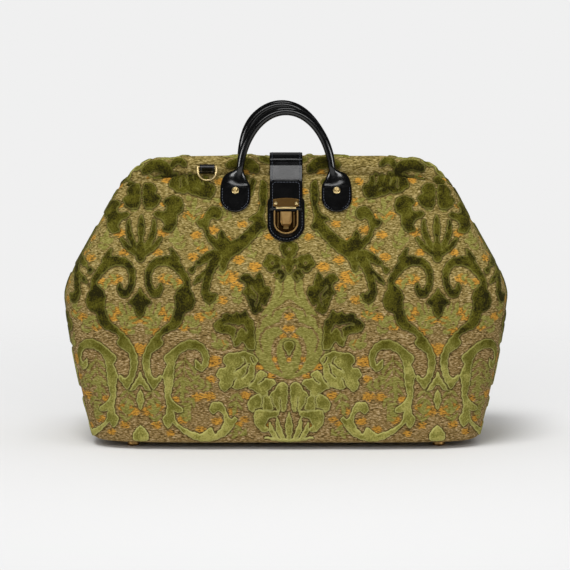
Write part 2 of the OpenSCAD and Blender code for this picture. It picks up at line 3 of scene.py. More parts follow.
import bmesh
import bpy
import numpy as np
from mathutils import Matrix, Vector


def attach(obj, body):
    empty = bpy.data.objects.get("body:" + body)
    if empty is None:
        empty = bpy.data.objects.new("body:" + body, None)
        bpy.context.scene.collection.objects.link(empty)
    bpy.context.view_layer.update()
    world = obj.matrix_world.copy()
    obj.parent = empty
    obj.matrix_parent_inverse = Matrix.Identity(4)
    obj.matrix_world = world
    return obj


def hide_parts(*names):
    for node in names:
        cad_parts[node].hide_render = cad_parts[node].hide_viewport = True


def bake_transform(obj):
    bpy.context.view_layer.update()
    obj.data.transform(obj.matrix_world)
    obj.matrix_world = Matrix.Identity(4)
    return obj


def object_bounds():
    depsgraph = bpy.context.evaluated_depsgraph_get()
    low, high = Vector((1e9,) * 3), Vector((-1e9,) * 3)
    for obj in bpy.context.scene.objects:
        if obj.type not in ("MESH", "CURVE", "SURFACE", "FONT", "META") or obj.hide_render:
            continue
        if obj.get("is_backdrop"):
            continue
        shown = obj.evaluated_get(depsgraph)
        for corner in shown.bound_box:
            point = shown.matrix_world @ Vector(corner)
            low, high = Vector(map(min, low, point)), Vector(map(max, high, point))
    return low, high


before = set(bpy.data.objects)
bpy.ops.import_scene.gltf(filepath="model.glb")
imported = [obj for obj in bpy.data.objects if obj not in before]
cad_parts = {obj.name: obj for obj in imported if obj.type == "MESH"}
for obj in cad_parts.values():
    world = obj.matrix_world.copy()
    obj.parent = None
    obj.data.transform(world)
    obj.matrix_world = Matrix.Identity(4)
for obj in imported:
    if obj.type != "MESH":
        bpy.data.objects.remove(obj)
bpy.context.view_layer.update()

# ---------------------------------------------------------------------------------------------------------------
# Carpet cloth, front and back: one heavy damask cloth on each side, cut as a panel with two half sides. It is
# sewn to the bottom, bends softly at the height of the hinge pins and is sewn under the roll at the top. A chenille
# pile stands about 2 mm over a ribbed taupe ground.
MM = 0.001
FOOT_H, HINGE_Z, SEAM_Z = 8, 186, 318
BASE_HALF_W, WIDEST_HALF_W, SHOULDER_HALF_W = 229.5, 262.5, 189
BASE_HALF_D, HINGE_HALF_D, TUCKED_HALF_D, SEAM_HALF_D = 97, 100, 94.5, 17
BELLY, PLAN_POWER, EDGE_R, SLIT, SHOULDER_DROP = 7, 6, 5, 0.3, 20
SIDE_CURVE, SIDE_ROUND = 1.4, 10
BEND_SWELL, BEND_REACH, BEND_RISE, BEND_ROUND = 2, 26, 24, 16


def eased(value):
    """A smooth step from 0 to 1."""
    value = np.clip(value, 0, 1)
    return value * value * (3 - 2 * value)


def soft_lower(p, q, width):
    """The lower of two values, rounded where they cross."""
    h = np.clip(0.5 + 0.5 * (q - p) / width, 0, 1)
    return q + (p - q) * h - width * h * (1 - h)


def cloth_half_w(z):
    """Half the width of the bag at a height."""
    u = np.clip((z - FOOT_H) / (HINGE_Z - FOOT_H), 0, 1)
    low = BASE_HALF_W + (WIDEST_HALF_W - BASE_HALF_W) * (1 - (1 - u) ** SIDE_CURVE)
    high = WIDEST_HALF_W + (SHOULDER_HALF_W - WIDEST_HALF_W) * (z - HINGE_Z) / (SEAM_Z - HINGE_Z)
    return soft_lower(low, high, SIDE_ROUND)


def cloth_half_d(z):
    """Half the depth of the bag at a height, with the belly below and the slope above the bend."""
    u = np.clip((z - FOOT_H) / (HINGE_Z - FOOT_H), 0, 1)
    low = BASE_HALF_D + (HINGE_HALF_D - BASE_HALF_D) * u + 4 * BELLY * u * (1 - u)
    slope = TUCKED_HALF_D + (SEAM_HALF_D - TUCKED_HALF_D) * (z - HINGE_Z) / (SEAM_Z - HINGE_Z)
    high = slope + (HINGE_HALF_D + BEND_SWELL - TUCKED_HALF_D) * np.exp(-((z - HINGE_Z) / BEND_REACH) ** 2)
    return soft_lower(low + BEND_SWELL * eased((z - HINGE_Z) / BEND_RISE), high, BEND_ROUND) + SLIT


def plan_unit(t):
    """A point of the squarish plan outline at an angle in degrees, 0 at the right side and 90 at the front."""
    c, s = np.cos(np.radians(t)), np.sin(np.radians(t))
    r = (np.abs(c) ** PLAN_POWER + np.abs(s) ** PLAN_POWER) ** (-1 / PLAN_POWER)
    return r * c, -r * s


# The damask is drawn as it shows from the front, in steps of 1.18 mm: across from the pattern's middle, up from the
# bottom edge. It repeats mirrored about its middle, which sits 3.5 mm left of the lock, and about the side motif.
PATTERN_STEP, PATTERN_SHIFT, SIDE_AXIS = 1.18, 3.5, 148
PETAL_TURN, LEAF_TURN = 1.2, 0.75


def rosette(x, y, reach, petal, count, turn):
    """Round petals about a centre."""
    return [[(x + reach * math.cos(turn + k * math.tau / count),
              y + reach * math.sin(turn + k * math.tau / count), 2 * petal)] for k in range(count)]


def sprig(x, y, heading, length, pairs):
    """A stalk with a leaf at its tip and pairs of leaves along it."""
    a = math.radians(heading)
    ux, uy = math.cos(a), math.sin(a)
    stalk = [(x + u * length * ux, y + u * length * uy, width) for u, width in ((0, 1.2), (0.6, 1.6))]
    tip = [(x + u * length * ux, y + u * length * uy, width) for u, width in ((0.45, 1), (0.75, 4.8), (1, 0.8))]
    leaves = [stalk, tip]
    for k in range(pairs):
        at = (0.08 + 0.58 * k / pairs) * length
        for turn in (LEAF_TURN, -LEAF_TURN):
            vx, vy = math.cos(a + turn), math.sin(a + turn)
            px, py, reach = x + at * ux, y + at * uy, 0.42 * length
            leaves.append([(px + u * reach * vx, py + u * reach * vy, width)
                           for u, width in ((0, 0.8), (0.5, 3.6), (1, 0.8))])
    return leaves


# Leaves of the pile as smooth closed outlines
leaf_outlines = [
    # scallop of six lobes under the medallion, the small leaf beside it
    [(66, 83), (64, 88), (58, 91), (52, 91), (47, 92.5), (42, 92), (37, 90), (33, 87), (30, 82), (33, 79), (34, 73),
     (34, 68), (37, 62), (41, 57), (47, 55), (52, 53.5), (56, 56), (59, 55), (63, 52), (68, 54), (70, 59), (69, 63),
     (72, 67), (72, 71), (69, 75), (63, 77)],
    [(34, 66), (31, 72), (26, 73), (22, 70), (21, 67.5), (23, 65.5), (17, 65), (13, 62), (13, 59), (17, 57),
     (17, 55), (21, 52), (21, 49), (27, 47), (31, 50), (37, 54), (41, 56), (39, 59), (35, 63)],
    # tail leaf in three parts and the middle leaf
    [(31, 50), (37, 47), (41, 42), (41, 36), (37, 31), (33, 34), (28, 35), (26, 39), (25, 44), (27, 47)],
    [(33, 34), (35, 29), (35, 23), (32, 16), (27, 12), (22, 11), (20, 14), (23, 18), (21, 23), (18, 26), (13, 26),
     (10, 30), (10, 33), (17, 33), (25, 34)],
    [(25, 48), (20, 48), (16, 44), (14, 36), (19, 33), (26, 34), (27, 41)],
    [(19, 47), (18, 52), (14, 54), (12, 59), (8, 61.5), (3, 61), (1, 57), (1, 48), (2, 39), (4, 32), (8, 32),
     (12, 34), (15, 38), (17, 42)],
    # crescent along the bottom edge, hooked at its inner end
    [(79, 38), (76, 41), (71, 42), (66, 40), (63, 35), (61, 29), (58, 25), (54, 27), (51, 24), (54, 19), (58, 13),
     (63, 8), (71, 4), (79, 2), (88, 2), (97, 5), (105, 10), (111, 15), (115, 19), (121, 25), (117, 29), (111, 21),
     (103, 15), (93, 11), (87, 10), (83, 13), (80, 16), (76, 15), (74, 10), (71, 12), (67, 17), (65, 23), (66, 29),
     (70, 32), (73, 31), (76, 29), (79, 32)],
    # tall crook
    [(125, 85), (120, 91), (113, 97), (107, 101), (99, 104), (91, 103), (85, 99), (80, 92), (79, 85), (81, 77),
     (86, 72), (92, 74), (94, 79), (93, 84), (89, 82), (87, 79), (86, 83), (87, 89), (91, 93), (98, 94), (105, 92),
     (110, 87), (113, 80), (114, 71), (115, 59), (117, 51), (117, 45), (113, 41), (107, 36), (105, 32), (110, 30),
     (115, 32), (113, 26), (120, 15), (125, 20), (126, 25), (123, 30), (122, 38), (124, 48), (124, 58), (126, 68),
     (123, 75), (122, 80)],
    # scroll that makes one side of the heart
    [(128, 161), (125, 157), (126, 150), (131, 145), (137, 147), (141, 153), (143, 161), (143, 171), (140, 178),
     (134, 184), (126, 186), (119, 187), (113, 184), (107, 178), (103, 171), (99, 164), (98, 155), (95, 149),
     (93, 141), (97, 133), (104, 129), (106, 121), (111, 115), (120, 111), (127, 106), (124, 101), (129, 95),
     (136, 90), (138, 81), (137, 71), (133, 65), (128, 69), (126, 66), (130, 59), (135, 54), (141, 62), (144, 71),
     (146, 80), (145, 89), (141, 98), (135, 107), (128, 114), (120, 121), (115, 129), (113, 138), (114, 146),
     (111, 153), (105, 158), (106, 163), (111, 169), (117, 175), (123, 177), (130, 177), (135, 173), (137, 166),
     (136, 159), (133, 154), (130, 156)],
    # diamond in the heart, spear, bud and knob under it
    [(152, 158), (146, 152), (141, 146), (136, 140), (142, 136), (144, 129), (152, 124)],
    [(150, 77), (146, 68), (140, 58), (137, 52), (143, 54), (147, 58), (150, 59)],
    [(150, 55), (146, 51), (144, 44), (146, 36), (150, 31)],
    [(152, 19), (144, 15), (140, 8), (141, 3), (152, 2)],
    # crown over the heart, two leaves
    [(145, 260), (138, 260), (134, 256), (135, 250), (130, 247), (132, 240), (138, 236), (144, 237), (146, 245)],
    [(124, 244), (117, 247), (110, 245), (107, 239), (108, 232), (113, 228), (113, 221), (116, 214), (121, 211),
     (126, 213), (124, 219), (127, 224), (132, 226), (135, 230), (131, 232), (125, 231), (122, 236), (125, 240)],
    # comb leaf under the seam
    [(115, 267), (109, 269), (105, 266), (103, 260), (101, 253), (107, 251), (113, 253), (117, 256), (120, 260)],
    [(91, 261), (85, 257), (78, 259), (75, 254), (77, 248), (81, 245), (85, 250), (90, 253)],
    # acanthus arm that rises beside the lock, and its two side leaves
    [(27, 262), (23, 258), (23, 243), (25, 233), (26, 225), (23, 215), (29, 212), (36, 203), (43, 196), (51, 189),
     (59, 185), (66, 184), (70, 191), (74, 195), (79, 200), (83, 207), (85, 214), (90, 217), (92, 221), (85, 225),
     (83, 230), (80, 234), (74, 236), (69, 233), (68, 227), (72, 224), (76, 225), (79, 224), (81, 219), (81, 213),
     (78, 207), (72, 203), (70, 209), (67, 212), (64, 207), (59, 202), (53, 203), (47, 208), (40, 214), (35, 221),
     (40, 224), (31, 230), (28, 238), (29, 247)],
    [(66, 190), (69, 192), (78, 192), (86, 187), (93, 180), (90, 177), (81, 181), (75, 185), (70, 184)],
    [(78, 176), (87, 170), (93, 164), (95, 158), (89, 161), (82, 169), (77, 172)],
    # heart of the medallion, dark leaves beside it
    [(0, 103), (3.5, 102), (6, 98), (3, 92), (0, 88), (-3, 92), (-6, 98), (-3.5, 102)],
    [(49, 163), (46, 168), (41, 169), (37, 166), (34, 164), (32, 168), (29, 170), (26, 165), (24, 158), (19, 155),
     (18, 149), (21, 142), (24, 138), (28, 139), (26, 134), (29, 131), (33, 129), (37, 131), (39, 136), (41, 142),
     (43, 147), (46, 150), (44, 154), (43, 158), (47, 161)],
    [(75, 118), (72, 123), (67, 125), (66, 129), (61, 130), (55, 129), (52, 132), (47, 130), (44, 134), (41, 131),
     (40, 127), (36, 123), (34, 116), (34, 108), (33, 100), (34, 94), (39, 93), (43, 97), (46, 101), (50, 98),
     (54, 96), (56, 101), (58, 107), (63, 110), (68, 110), (73, 113)],
]
# Stems, petals and thin leaves of the pile as lines, each point as across, up and width
strokes = rosette(0, 194, 4.8, 4.3, 5, math.pi / 2) + rosette(16.5, 179.5, 4.8, 4.4, 5, PETAL_TURN)
strokes += [
    [(12, 167, 5), (9, 171, 6), (6, 167, 5), (8, 163, 4)], [(0, 186, 6), (0, 176, 8), (0, 170, 3)],
    [(6, 181, 6), (0, 178, 6)], [(0, 31, 2), (0, 18, 8), (0, 6, 5)], [(12, 26, 2), (10, 14, 6), (6, 5, 4)],
    [(19, 21, 2), (17, 12, 5.5), (11, 4, 3)], [(24, 6, 2), (12, 4, 3.5), (2, 3, 4)],
    [(72, 184, 10), (78, 174, 9), (82, 160, 8), (83, 150, 8), (79, 144, 9), (74, 148, 5)],
    [(61, 187, 7), (65, 180, 8), (66, 173, 4)], [(118, 194, 2), (113, 184, 8)], [(97, 172, 6), (94, 176, 3)],
    [(148, 227, 2), (148, 215, 6), (149, 200, 4)], [(135, 223, 2), (136, 210, 5), (142, 196, 5)],
    [(128, 205, 2), (134, 197, 5), (143, 190, 5)], [(148, 198, 8), (148, 188, 10), (148, 182, 3)],
    [(100, 269, 4), (97, 257, 7)], [(94, 270, 4), (91, 258, 6)], [(84, 266, 3), (83, 258, 5)],
    [(106, 258, 5), (96, 252, 5), (84, 248, 5)], [(134, 268, 3), (122, 271, 4), (108, 272, 3)],
    [(44, 266, 5), (50, 258, 7)], [(36, 262, 4), (40, 250, 5)],
    # leaves that run over the roll
    [(28, 276, 8), (40, 282, 13), (54, 279, 7)], [(116, 276, 9), (126, 283, 13), (138, 280, 8)],
    [(99, 280, 5), (105, 286, 8), (111, 281, 6)], [(8, 282, 7), (20, 286, 9)], [(142, 289, 9)],
    [(46, 292, 9), (58, 295, 7)], [(112, 295, 7), (128, 297, 8)], [(20, 296, 6), (34, 298, 6)],
]
# Fine grooves cut into the pile: flower hearts, leaf veins and the gaps between lobes
veins = [
    [(0, 194, 3)], [(16.5, 179.5, 3.2)], [(46, 86, 0.9), (43, 81, 1.4), (46, 78, 1.3), (54, 72, 0.9)],
    [(38, 86, 0.9), (35, 81, 1.4)], [(40, 79, 1.4), (42, 71, 1.2), (46, 66, 0.9)], [(53, 65, 0.9), (57, 57, 1.5)],
    [(24, 66, 1.4), (30, 60, 0.9)], [(26, 46, 0.8), (27, 36, 0.8)], [(18, 47, 0.8), (15, 36, 0.9)],
    [(9, 46, 0.7), (8, 33, 0.9)], [(0, 58, 1.0), (0, 34, 1.2)], [(33, 34.5, 1.4), (27, 35, 0.9)],
    [(38, 156, 0.9), (31, 147, 1.3), (33, 138, 0.9)], [(38, 147, 0.8), (32, 143, 1.2)],
    [(64, 119, 0.9), (57, 119, 1.6), (51, 116, 4.0), (46, 117, 3.0), (42, 111, 0.9)],
    [(51, 114, 2.0), (54, 104, 0.9)], [(109, 265, 0.8), (109, 256, 1.2)],
]
# Flat woven green: leafy sprigs on the ground, as across, up, heading, length and pairs of leaves
sprays = [
    (97, 218, 95, 28, 2), (107, 192, 75, 24, 2), (35, 184, 70, 18, 1), (64, 160, 75, 22, 2), (50, 138, 80, 20, 2),
    (58, 98, 5, 20, 2), (51, 52, -80, 26, 2), (42, 8, 40, 16, 1), (130, 112, 62, 36, 3), (103, 88, -85, 44, 3),
    (94, 46, -50, 22, 2), (136, 56, -95, 28, 2), (124, 168, 215, 14, 1), (27, 206, 50, 16, 2), (10, 204, 75, 14, 1),
    (56, 224, 30, 24, 2), (46, 236, 80, 22, 2), (80, 240, 60, 16, 1), (77, 122, 75, 26, 2), (90, 108, 70, 22, 2),
    (116, 198, 100, 20, 1), (68, 142, 20, 22, 2), (12, 222, 80, 20, 2), (140, 108, 100, 14, 1), (98, 22, 50, 18, 2),
    (132, 20, 80, 24, 2), (76, 56, 15, 22, 2), (58, 238, 20, 20, 1), (92, 240, 30, 14, 1), (116, 158, 190, 12, 1),
    (142, 232, 110, 12, 1), (70, 94, 70, 18, 1), (92, 62, 80, 16, 1), (108, 66, 265, 26, 2), (50, 8, 15, 16, 1),
    (140, 274, 170, 20, 1), (120, 142, 250, 22, 2), (44, 98, 230, 14, 1), (84, 196, 20, 12, 1),
    (100, 128, -70, 14, 1), (132, 120, 100, 22, 1),
]
sprigs = [leaf for spray in sprays for leaf in sprig(*spray)]
# Orange weft that comes up between the leaves, as across, up and size of each patch
flecks = [
    (58, 166, 15), (34, 176, 12), (50, 183, 11), (62, 203, 9), (52, 156, 11), (67, 143, 11), (75, 82, 14),
    (28, 77, 10), (18, 67, 8), (43, 48, 10), (56, 32, 9), (44, 24, 8), (20, 17, 8), (79, 47, 11), (50, 19, 8),
    (123, 265, 10), (101, 228, 11), (92, 224, 8), (76, 213, 11), (93, 208, 10), (86, 194, 10), (96, 186, 10),
    (126, 211, 11), (123, 164, 13), (111, 160, 11), (131, 191, 9), (65, 241, 11), (63, 163, 12), (142, 124, 12),
    (126, 132, 11), (121, 126, 10), (133, 113, 11), (147, 94, 15), (88, 126, 11), (77, 129, 10), (78, 64, 9),
    (91, 46, 11), (113, 44, 8), (106, 23, 10), (88, 14, 9), (72, 22, 10), (140, 32, 13), (130, 36, 9), (26, 240, 9),
    (14, 252, 9), (70, 262, 9), (0, 127, 9), (1, 115, 9), (6, 107, 7), (14, 84, 7), (11, 76, 6), (0, 84, 5),
    (38, 272, 8), (140, 270, 8), (47, 219, 9), (20, 206, 9), (104, 116, 9), (66, 100, 8), (126, 240, 6), (132, 18, 9),
    (118, 10, 8), (86, 226, 8),
]
# Medallion of flat green: half its width at heights, and the gaps in it where the ground shows
MEDALLION_UP = [64, 67, 73, 81, 93, 103, 113, 123, 133, 138, 143, 153, 160, 168, 173]
MEDALLION_HALF = [0, 9, 23, 30, 34, 34.5, 33, 30, 25.5, 20, 18, 14, 14, 12, 0]
medallion_gaps = [
    [(0, 141, 6), (8, 136, 4), (14, 133, 2.0), (17, 127, 1.8)], [(6.5, 168, 1.2), (6, 153, 1.6), (9, 146, 1.2)],
    [(0, 130, 10), (0, 124, 16), (0, 119, 20)],
    [(10, 119, 4), (22, 115, 2.0), (27, 109, 2.0), (29, 102, 1.8), (26, 92, 1.2)],
    [(0, 118, 9), (3, 110, 5), (9, 105, 3)],
    [(0, 108, 4), (8, 106.5, 4), (13, 101, 5), (15, 92, 5), (14, 84, 5), (11, 76, 3), (7, 71, 1.4)],
    [(6, 97, 1.8), (3.5, 90, 1.8), (0, 83, 5)], [(22, 128, 1.6), (27, 125, 2.4), (30, 115, 1.8)],
]
# The pile stands fuller up the slope. It is brushed upward; its tone by height is painted sheen and shade: dark on
# the slope, paler toward the bottom edge, painted shade low on the roll by its seam and a painted highlight over its
# top.
FULLER_UP, FULLER = [140, 200, 250, 268, 274], [0, 0.7, 1.3, 1.3, 0.5]
PILE_SHEEN_UP = [0, 10, 20, 40, 75, 95, 112, 130, 160, 230, 266, 274, 284, 292]
PILE_SHEEN = [0.98, 0.90, 0.76, 0.74, 0.76, 0.52, 0.28, 0.08, 0.16, 0.21, 0.16, 0.04, 0.24, 0.7]
PILE_REACH, VEIN_REACH, GAP_REACH, FLAT_REACH = 6, 8, 4, 3
VEIN_FLOOR = 0.1
WEFT_WIDE, WEFT_HIGH = 0.62, 0.45


def rounded_line(points, closed=False):
    """More points along a smooth line through the given ones, closed into a ring if asked."""
    p = np.array(points, float)
    if len(p) < 3:
        return p
    p = np.vstack([p[-1], p, p[:2]]) if closed else np.vstack([2 * p[0] - p[1], p, 2 * p[-1] - p[-2]])
    out = []
    for k in range(1, len(p) - 2):
        for u in (0, 0.25, 0.5, 0.75):
            out.append(0.5 * (2 * p[k] + (p[k + 1] - p[k - 1]) * u
                              + (2 * p[k - 1] - 5 * p[k] + 4 * p[k + 1] - p[k + 2]) * u * u
                              + (3 * p[k] - p[k - 1] - 3 * p[k + 1] + p[k + 2]) * u ** 3))
    out.append(p[-2])
    return np.array(out)


def inside_line(x, y, points, reach):
    """How far inside a drawn line each place lies, in steps: positive in the line, and -reach far from it."""
    line = rounded_line(points)
    line[:, 2] = np.maximum(line[:, 2], 0.6) / 2
    depth = np.full(x.shape, -float(reach))
    if len(line) == 1:
        line = np.vstack([line, line + [0.01, 0, 0]])
    for a, b in zip(line[:-1], line[1:]):
        far = max(a[2], b[2]) + reach
        near = np.nonzero((x > min(a[0], b[0]) - far) & (x < max(a[0], b[0]) + far)
                          & (y > min(a[1], b[1]) - far) & (y < max(a[1], b[1]) + far))[0]
        if len(near) == 0:
            continue
        d = b[:2] - a[:2]
        u = np.clip(((x[near] - a[0]) * d[0] + (y[near] - a[1]) * d[1]) / max(d @ d, 1e-9), 0, 1)
        gap = np.hypot(x[near] - a[0] - u * d[0], y[near] - a[1] - u * d[1])
        depth[near] = np.maximum(depth[near], a[2] + (b[2] - a[2]) * u - gap)
    return depth


def inside_outline(x, y, points, reach):
    """How far inside a closed smooth outline each place lies, in steps: negative outside, and -reach far from it."""
    ring = rounded_line(points, closed=True)
    low, high = ring.min(0) - reach, ring.max(0) + reach
    near = np.nonzero((x > low[0]) & (x < high[0]) & (y > low[1]) & (y < high[1]))[0]
    depth = np.full(x.shape, -float(reach))
    px, py = x[near], y[near]
    gap, odd = np.full(px.shape, 1e9), np.zeros(px.shape, bool)
    for a, b in zip(ring[:-1], ring[1:]):
        d = b - a
        u = np.clip(((px - a[0]) * d[0] + (py - a[1]) * d[1]) / max(d @ d, 1e-9), 0, 1)
        gap = np.minimum(gap, np.hypot(px - a[0] - u * d[0], py - a[1] - u * d[1]))
        if a[1] != b[1]:
            odd ^= ((a[1] > py) != (b[1] > py)) & (px < a[0] + (py - a[1]) * d[0] / d[1])
    depth[near] = np.maximum(np.where(odd, gap, -gap), -reach)
    return depth


def damask(across, up):
    """The cloth's pattern at places in millimetres: depth in the pile, painted sheen of the pile, depth in the flat
    green, orange.
    """
    x = np.abs(across + PATTERN_SHIFT).ravel() / PATTERN_STEP
    x = np.mod(x, 2 * SIDE_AXIS)
    x = np.where(x > SIDE_AXIS, 2 * SIDE_AXIS - x, x)
    y = up.ravel() / PATTERN_STEP
    # the weave wanders a little, so no edge is a drawn line
    wx = x + 0.35 * np.sin(0.9 * y + 1.3 * np.sin(0.31 * x)) + 0.25 * np.sin(2.3 * y + x)
    wy = y + 0.35 * np.sin(0.8 * x + 1.1 * np.sin(0.37 * y)) + 0.25 * np.sin(2.1 * x - y)
    depth = np.full(x.shape, -float(PILE_REACH))
    for line in leaf_outlines:
        depth = np.maximum(depth, inside_outline(wx, wy, line, PILE_REACH))
    for line in strokes:
        depth = np.maximum(depth, inside_line(wx, wy, line, PILE_REACH))
    depth += np.interp(y, FULLER_UP, FULLER)
    for line in veins:
        depth = np.minimum(depth, -inside_line(wx, wy, line, VEIN_REACH) + VEIN_FLOOR)
    # painted sheen and shade of the pile, by height
    pile_sheen = np.interp(y, PILE_SHEEN_UP, PILE_SHEEN)
    half = np.interp(wy, MEDALLION_UP, MEDALLION_HALF)
    flat = np.where(half > 0.5, np.minimum(half - wx, FLAT_REACH), -FLAT_REACH)
    for line in medallion_gaps:
        flat = np.minimum(flat, -inside_line(wx, wy, line, GAP_REACH))
    for line in sprigs:
        flat = np.maximum(flat, inside_line(wx, wy, line, FLAT_REACH))
    orange = np.zeros(x.shape)
    for fx, fy, size in flecks:
        wide, high = (wx - fx) / (WEFT_WIDE * size), (wy - fy) / (WEFT_HIGH * size)
        orange = np.maximum(orange, np.exp(-wide ** 2 - high ** 2))
    return [v.reshape(across.shape) for v in (depth * PATTERN_STEP, pile_sheen, flat * PATTERN_STEP, orange)]


def linear(colour):
    """An sRGB hex colour as linear RGBA."""
    parts = [int(colour[i:i + 2], 16) / 255 for i in (1, 3, 5)]
    return tuple([c / 12.92 if c <= 0.04045 else ((c + 0.055) / 1.055) ** 2.4 for c in parts] + [1.0])


def add(tree, kind, inputs=None, stops=(), **settings):
    """Adds a node, sets its properties and colour stops, and links or sets each of its inputs."""
    node = tree.nodes.new(kind)
    for name, value in settings.items():
        setattr(node, name, value)
    for name, value in (inputs or {}).items():
        if isinstance(value, bpy.types.NodeSocket):
            tree.links.new(value, node.inputs[name])
        else:
            node.inputs[name].default_value = value
    while stops and len(node.color_ramp.elements) < len(stops):
        node.color_ramp.elements.new(0.5)
    for stop, (at, colour) in zip(node.color_ramp.elements if stops else (), stops):
        stop.position, stop.color = at, linear(colour)
    return node


def new_material(name):
    """An empty node material with its surface shader."""
    material = bpy.data.materials.new(name)
    material.use_nodes = True
    tree = material.node_tree
    tree.nodes.clear()
    shader = add(tree, "ShaderNodeBsdfPrincipled")
    add(tree, "ShaderNodeOutputMaterial", {"Surface": shader.outputs["BSDF"]})
    return material, tree, shader


# Chenille damask: cut pile of twisted yarn over a crepe ground. The pile is matt and darker where it stands upright,
# with a painted highlight as a paler rim and painted sheen in its tone by height; the ground is a crepe of short
# picks in which the orange weft and the flat green come up. Picks and tufts are drawn two to three times as coarse as
# real ones, so that they show.
PICK_H, PICK_W, TUFT, SHADE_SPOT = 1.1, 3.6, 1.8, 14.0
PAINTED = ("pile_depth", "pile_sheen_tone", "flat_depth", "orange_weft")
carpet, tree, shader = new_material("chenille_damask")
place = add(tree, "ShaderNodeTexCoord").outputs["Object"]
height_of = add(tree, "ShaderNodeSeparateXYZ", {0: place}).outputs["Z"]
depth_of, pile_sheen_of, flat_of, orange_of = [add(tree, "ShaderNodeAttribute", attribute_name=name).outputs["Fac"]
                                         for name in PAINTED]
picks = add(tree, "ShaderNodeVectorMath", {0: place, 1: (1 / (PICK_W * MM), 1 / (PICK_W * MM), 1 / (PICK_H * MM))},
            operation="MULTIPLY").outputs[0]
weave = add(tree, "ShaderNodeTexNoise", {"Vector": picks, "Scale": 1.0, "Detail": 2.0,
                                         "Roughness": 0.6}).outputs["Fac"]
tuft = add(tree, "ShaderNodeTexNoise", {"Vector": place, "Scale": 1 / (TUFT * MM), "Detail": 4.0,
                                        "Roughness": 0.68}).outputs["Fac"]
spots = add(tree, "ShaderNodeTexNoise", {"Vector": place, "Scale": 1 / (SHADE_SPOT * MM),
                                         "Detail": 3.0}).outputs["Fac"]
# ground: taupe picks, with more olive among them up the slope
taupe = add(tree, "ShaderNodeValToRGB", {"Fac": weave},
            stops=((0.32, "#3C2B0E"), (0.44, "#705A32"), (0.56, "#937A4C"), (0.72, "#C8B088"))).outputs["Color"]
olive = add(tree, "ShaderNodeValToRGB", {"Fac": weave},
            stops=((0.32, "#433C0E"), (0.5, "#847A3C"), (0.72, "#B4A768"))).outputs["Color"]
up_slope = add(tree, "ShaderNodeMapRange", {"Value": height_of, "From Min": 0.12, "From Max": 0.22, "To Max": 0.5})
ground = add(tree, "ShaderNodeMix", {"Factor": up_slope.outputs[0], 6: taupe, 7: olive}, data_type="RGBA").outputs[2]
# orange weft, broken into dashes by the picks
dash = add(tree, "ShaderNodeMapRange", {"Value": weave, "From Min": 0.36, "From Max": 0.62, "To Min": 0.35,
                                        "To Max": 1.45})
dashes = add(tree, "ShaderNodeMath", {0: orange_of, 1: dash.outputs[0]}, operation="MULTIPLY").outputs[0]
dashes = add(tree, "ShaderNodeMapRange", {"Value": dashes, "From Min": 0.40, "From Max": 0.62}).outputs[0]
orange = add(tree, "ShaderNodeValToRGB", {"Fac": weave}, stops=((0.35, "#8A5E1A"), (0.7, "#CF9A3E"))).outputs["Color"]
ground = add(tree, "ShaderNodeMix", {"Factor": dashes, 6: ground, 7: orange}, data_type="RGBA").outputs[2]
# flat green with a dark line round it
beside = add(tree, "ShaderNodeMapRange", {"Value": flat_of, "From Min": -2.0, "From Max": 2.0}).outputs[0]
flat_edge = add(tree, "ShaderNodeValToRGB", {"Fac": beside},
                stops=((0.24, "#000000"), (0.42, "#D0D0D0"), (0.56, "#000000"))).outputs["Color"]
ground = add(tree, "ShaderNodeMix", {"Factor": flat_edge, 6: ground, 7: linear("#54451C")},
             data_type="RGBA").outputs[2]
woven = add(tree, "ShaderNodeValToRGB", {"Fac": weave},
            stops=((0.32, "#5F5B22"), (0.5, "#7F7A3A"), (0.70, "#9F9856"))).outputs["Color"]
in_flat = add(tree, "ShaderNodeMapRange", {"Value": flat_of, "From Min": -0.1, "From Max": 0.5}).outputs[0]
ground = add(tree, "ShaderNodeMix", {"Factor": in_flat, 6: ground, 7: woven}, data_type="RGBA").outputs[2]
# pile: its tone, which is painted sheen and shade by height, varied in spots and from tuft to tuft
spotted = add(tree, "ShaderNodeMapRange", {"Value": spots, "From Min": 0.32, "From Max": 0.68, "To Min": -0.18,
                                           "To Max": 0.22})
tufted = add(tree, "ShaderNodeMapRange", {"Value": tuft, "From Min": 0.30, "From Max": 0.70, "To Min": -0.26,
                                          "To Max": 0.24})
shade = add(tree, "ShaderNodeMath", {0: pile_sheen_of, 1: spotted.outputs[0]}, operation="ADD").outputs[0]
shade = add(tree, "ShaderNodeMath", {0: shade, 1: tufted.outputs[0]}, operation="ADD").outputs[0]
pile = add(tree, "ShaderNodeValToRGB", {"Fac": shade},
           stops=((0.0, "#201D02"), (0.16, "#3B3706"), (0.36, "#534F12"), (0.66, "#6D692B"), (0.86, "#898440"),
                  (1.0, "#A29B54"))).outputs["Color"]
# painted highlight: a pale rim just inside the pile's edge, weaker on dark pile; painted shade on the ground at its
# foot
inward = add(tree, "ShaderNodeMapRange", {"Value": depth_of, "From Min": -1.0, "From Max": 4.0}).outputs[0]
rim_highlight = add(tree, "ShaderNodeValToRGB", {"Fac": inward},
          stops=((0.20, "#000000"), (0.30, "#E6E6E6"), (0.40, "#D0D0D0"), (0.60, "#000000"))).outputs["Color"]
# the painted highlight is weaker where the painted sheen of the pile is dark
clear = add(tree, "ShaderNodeMapRange", {"Value": pile_sheen_of, "From Min": 0.10, "From Max": 0.55, "To Min": 0.48})
rim_highlight = add(tree, "ShaderNodeMath", {0: rim_highlight, 1: clear.outputs[0]}, operation="MULTIPLY").outputs[0]
rim_highlight_colour = add(tree, "ShaderNodeMix", {"Factor": pile_sheen_of, 6: linear("#7A762E"), 7: linear("#BAB670")},
                 data_type="RGBA").outputs[2]
pile = add(tree, "ShaderNodeMix", {"Factor": rim_highlight, 6: pile, 7: rim_highlight_colour}, data_type="RGBA").outputs[2]
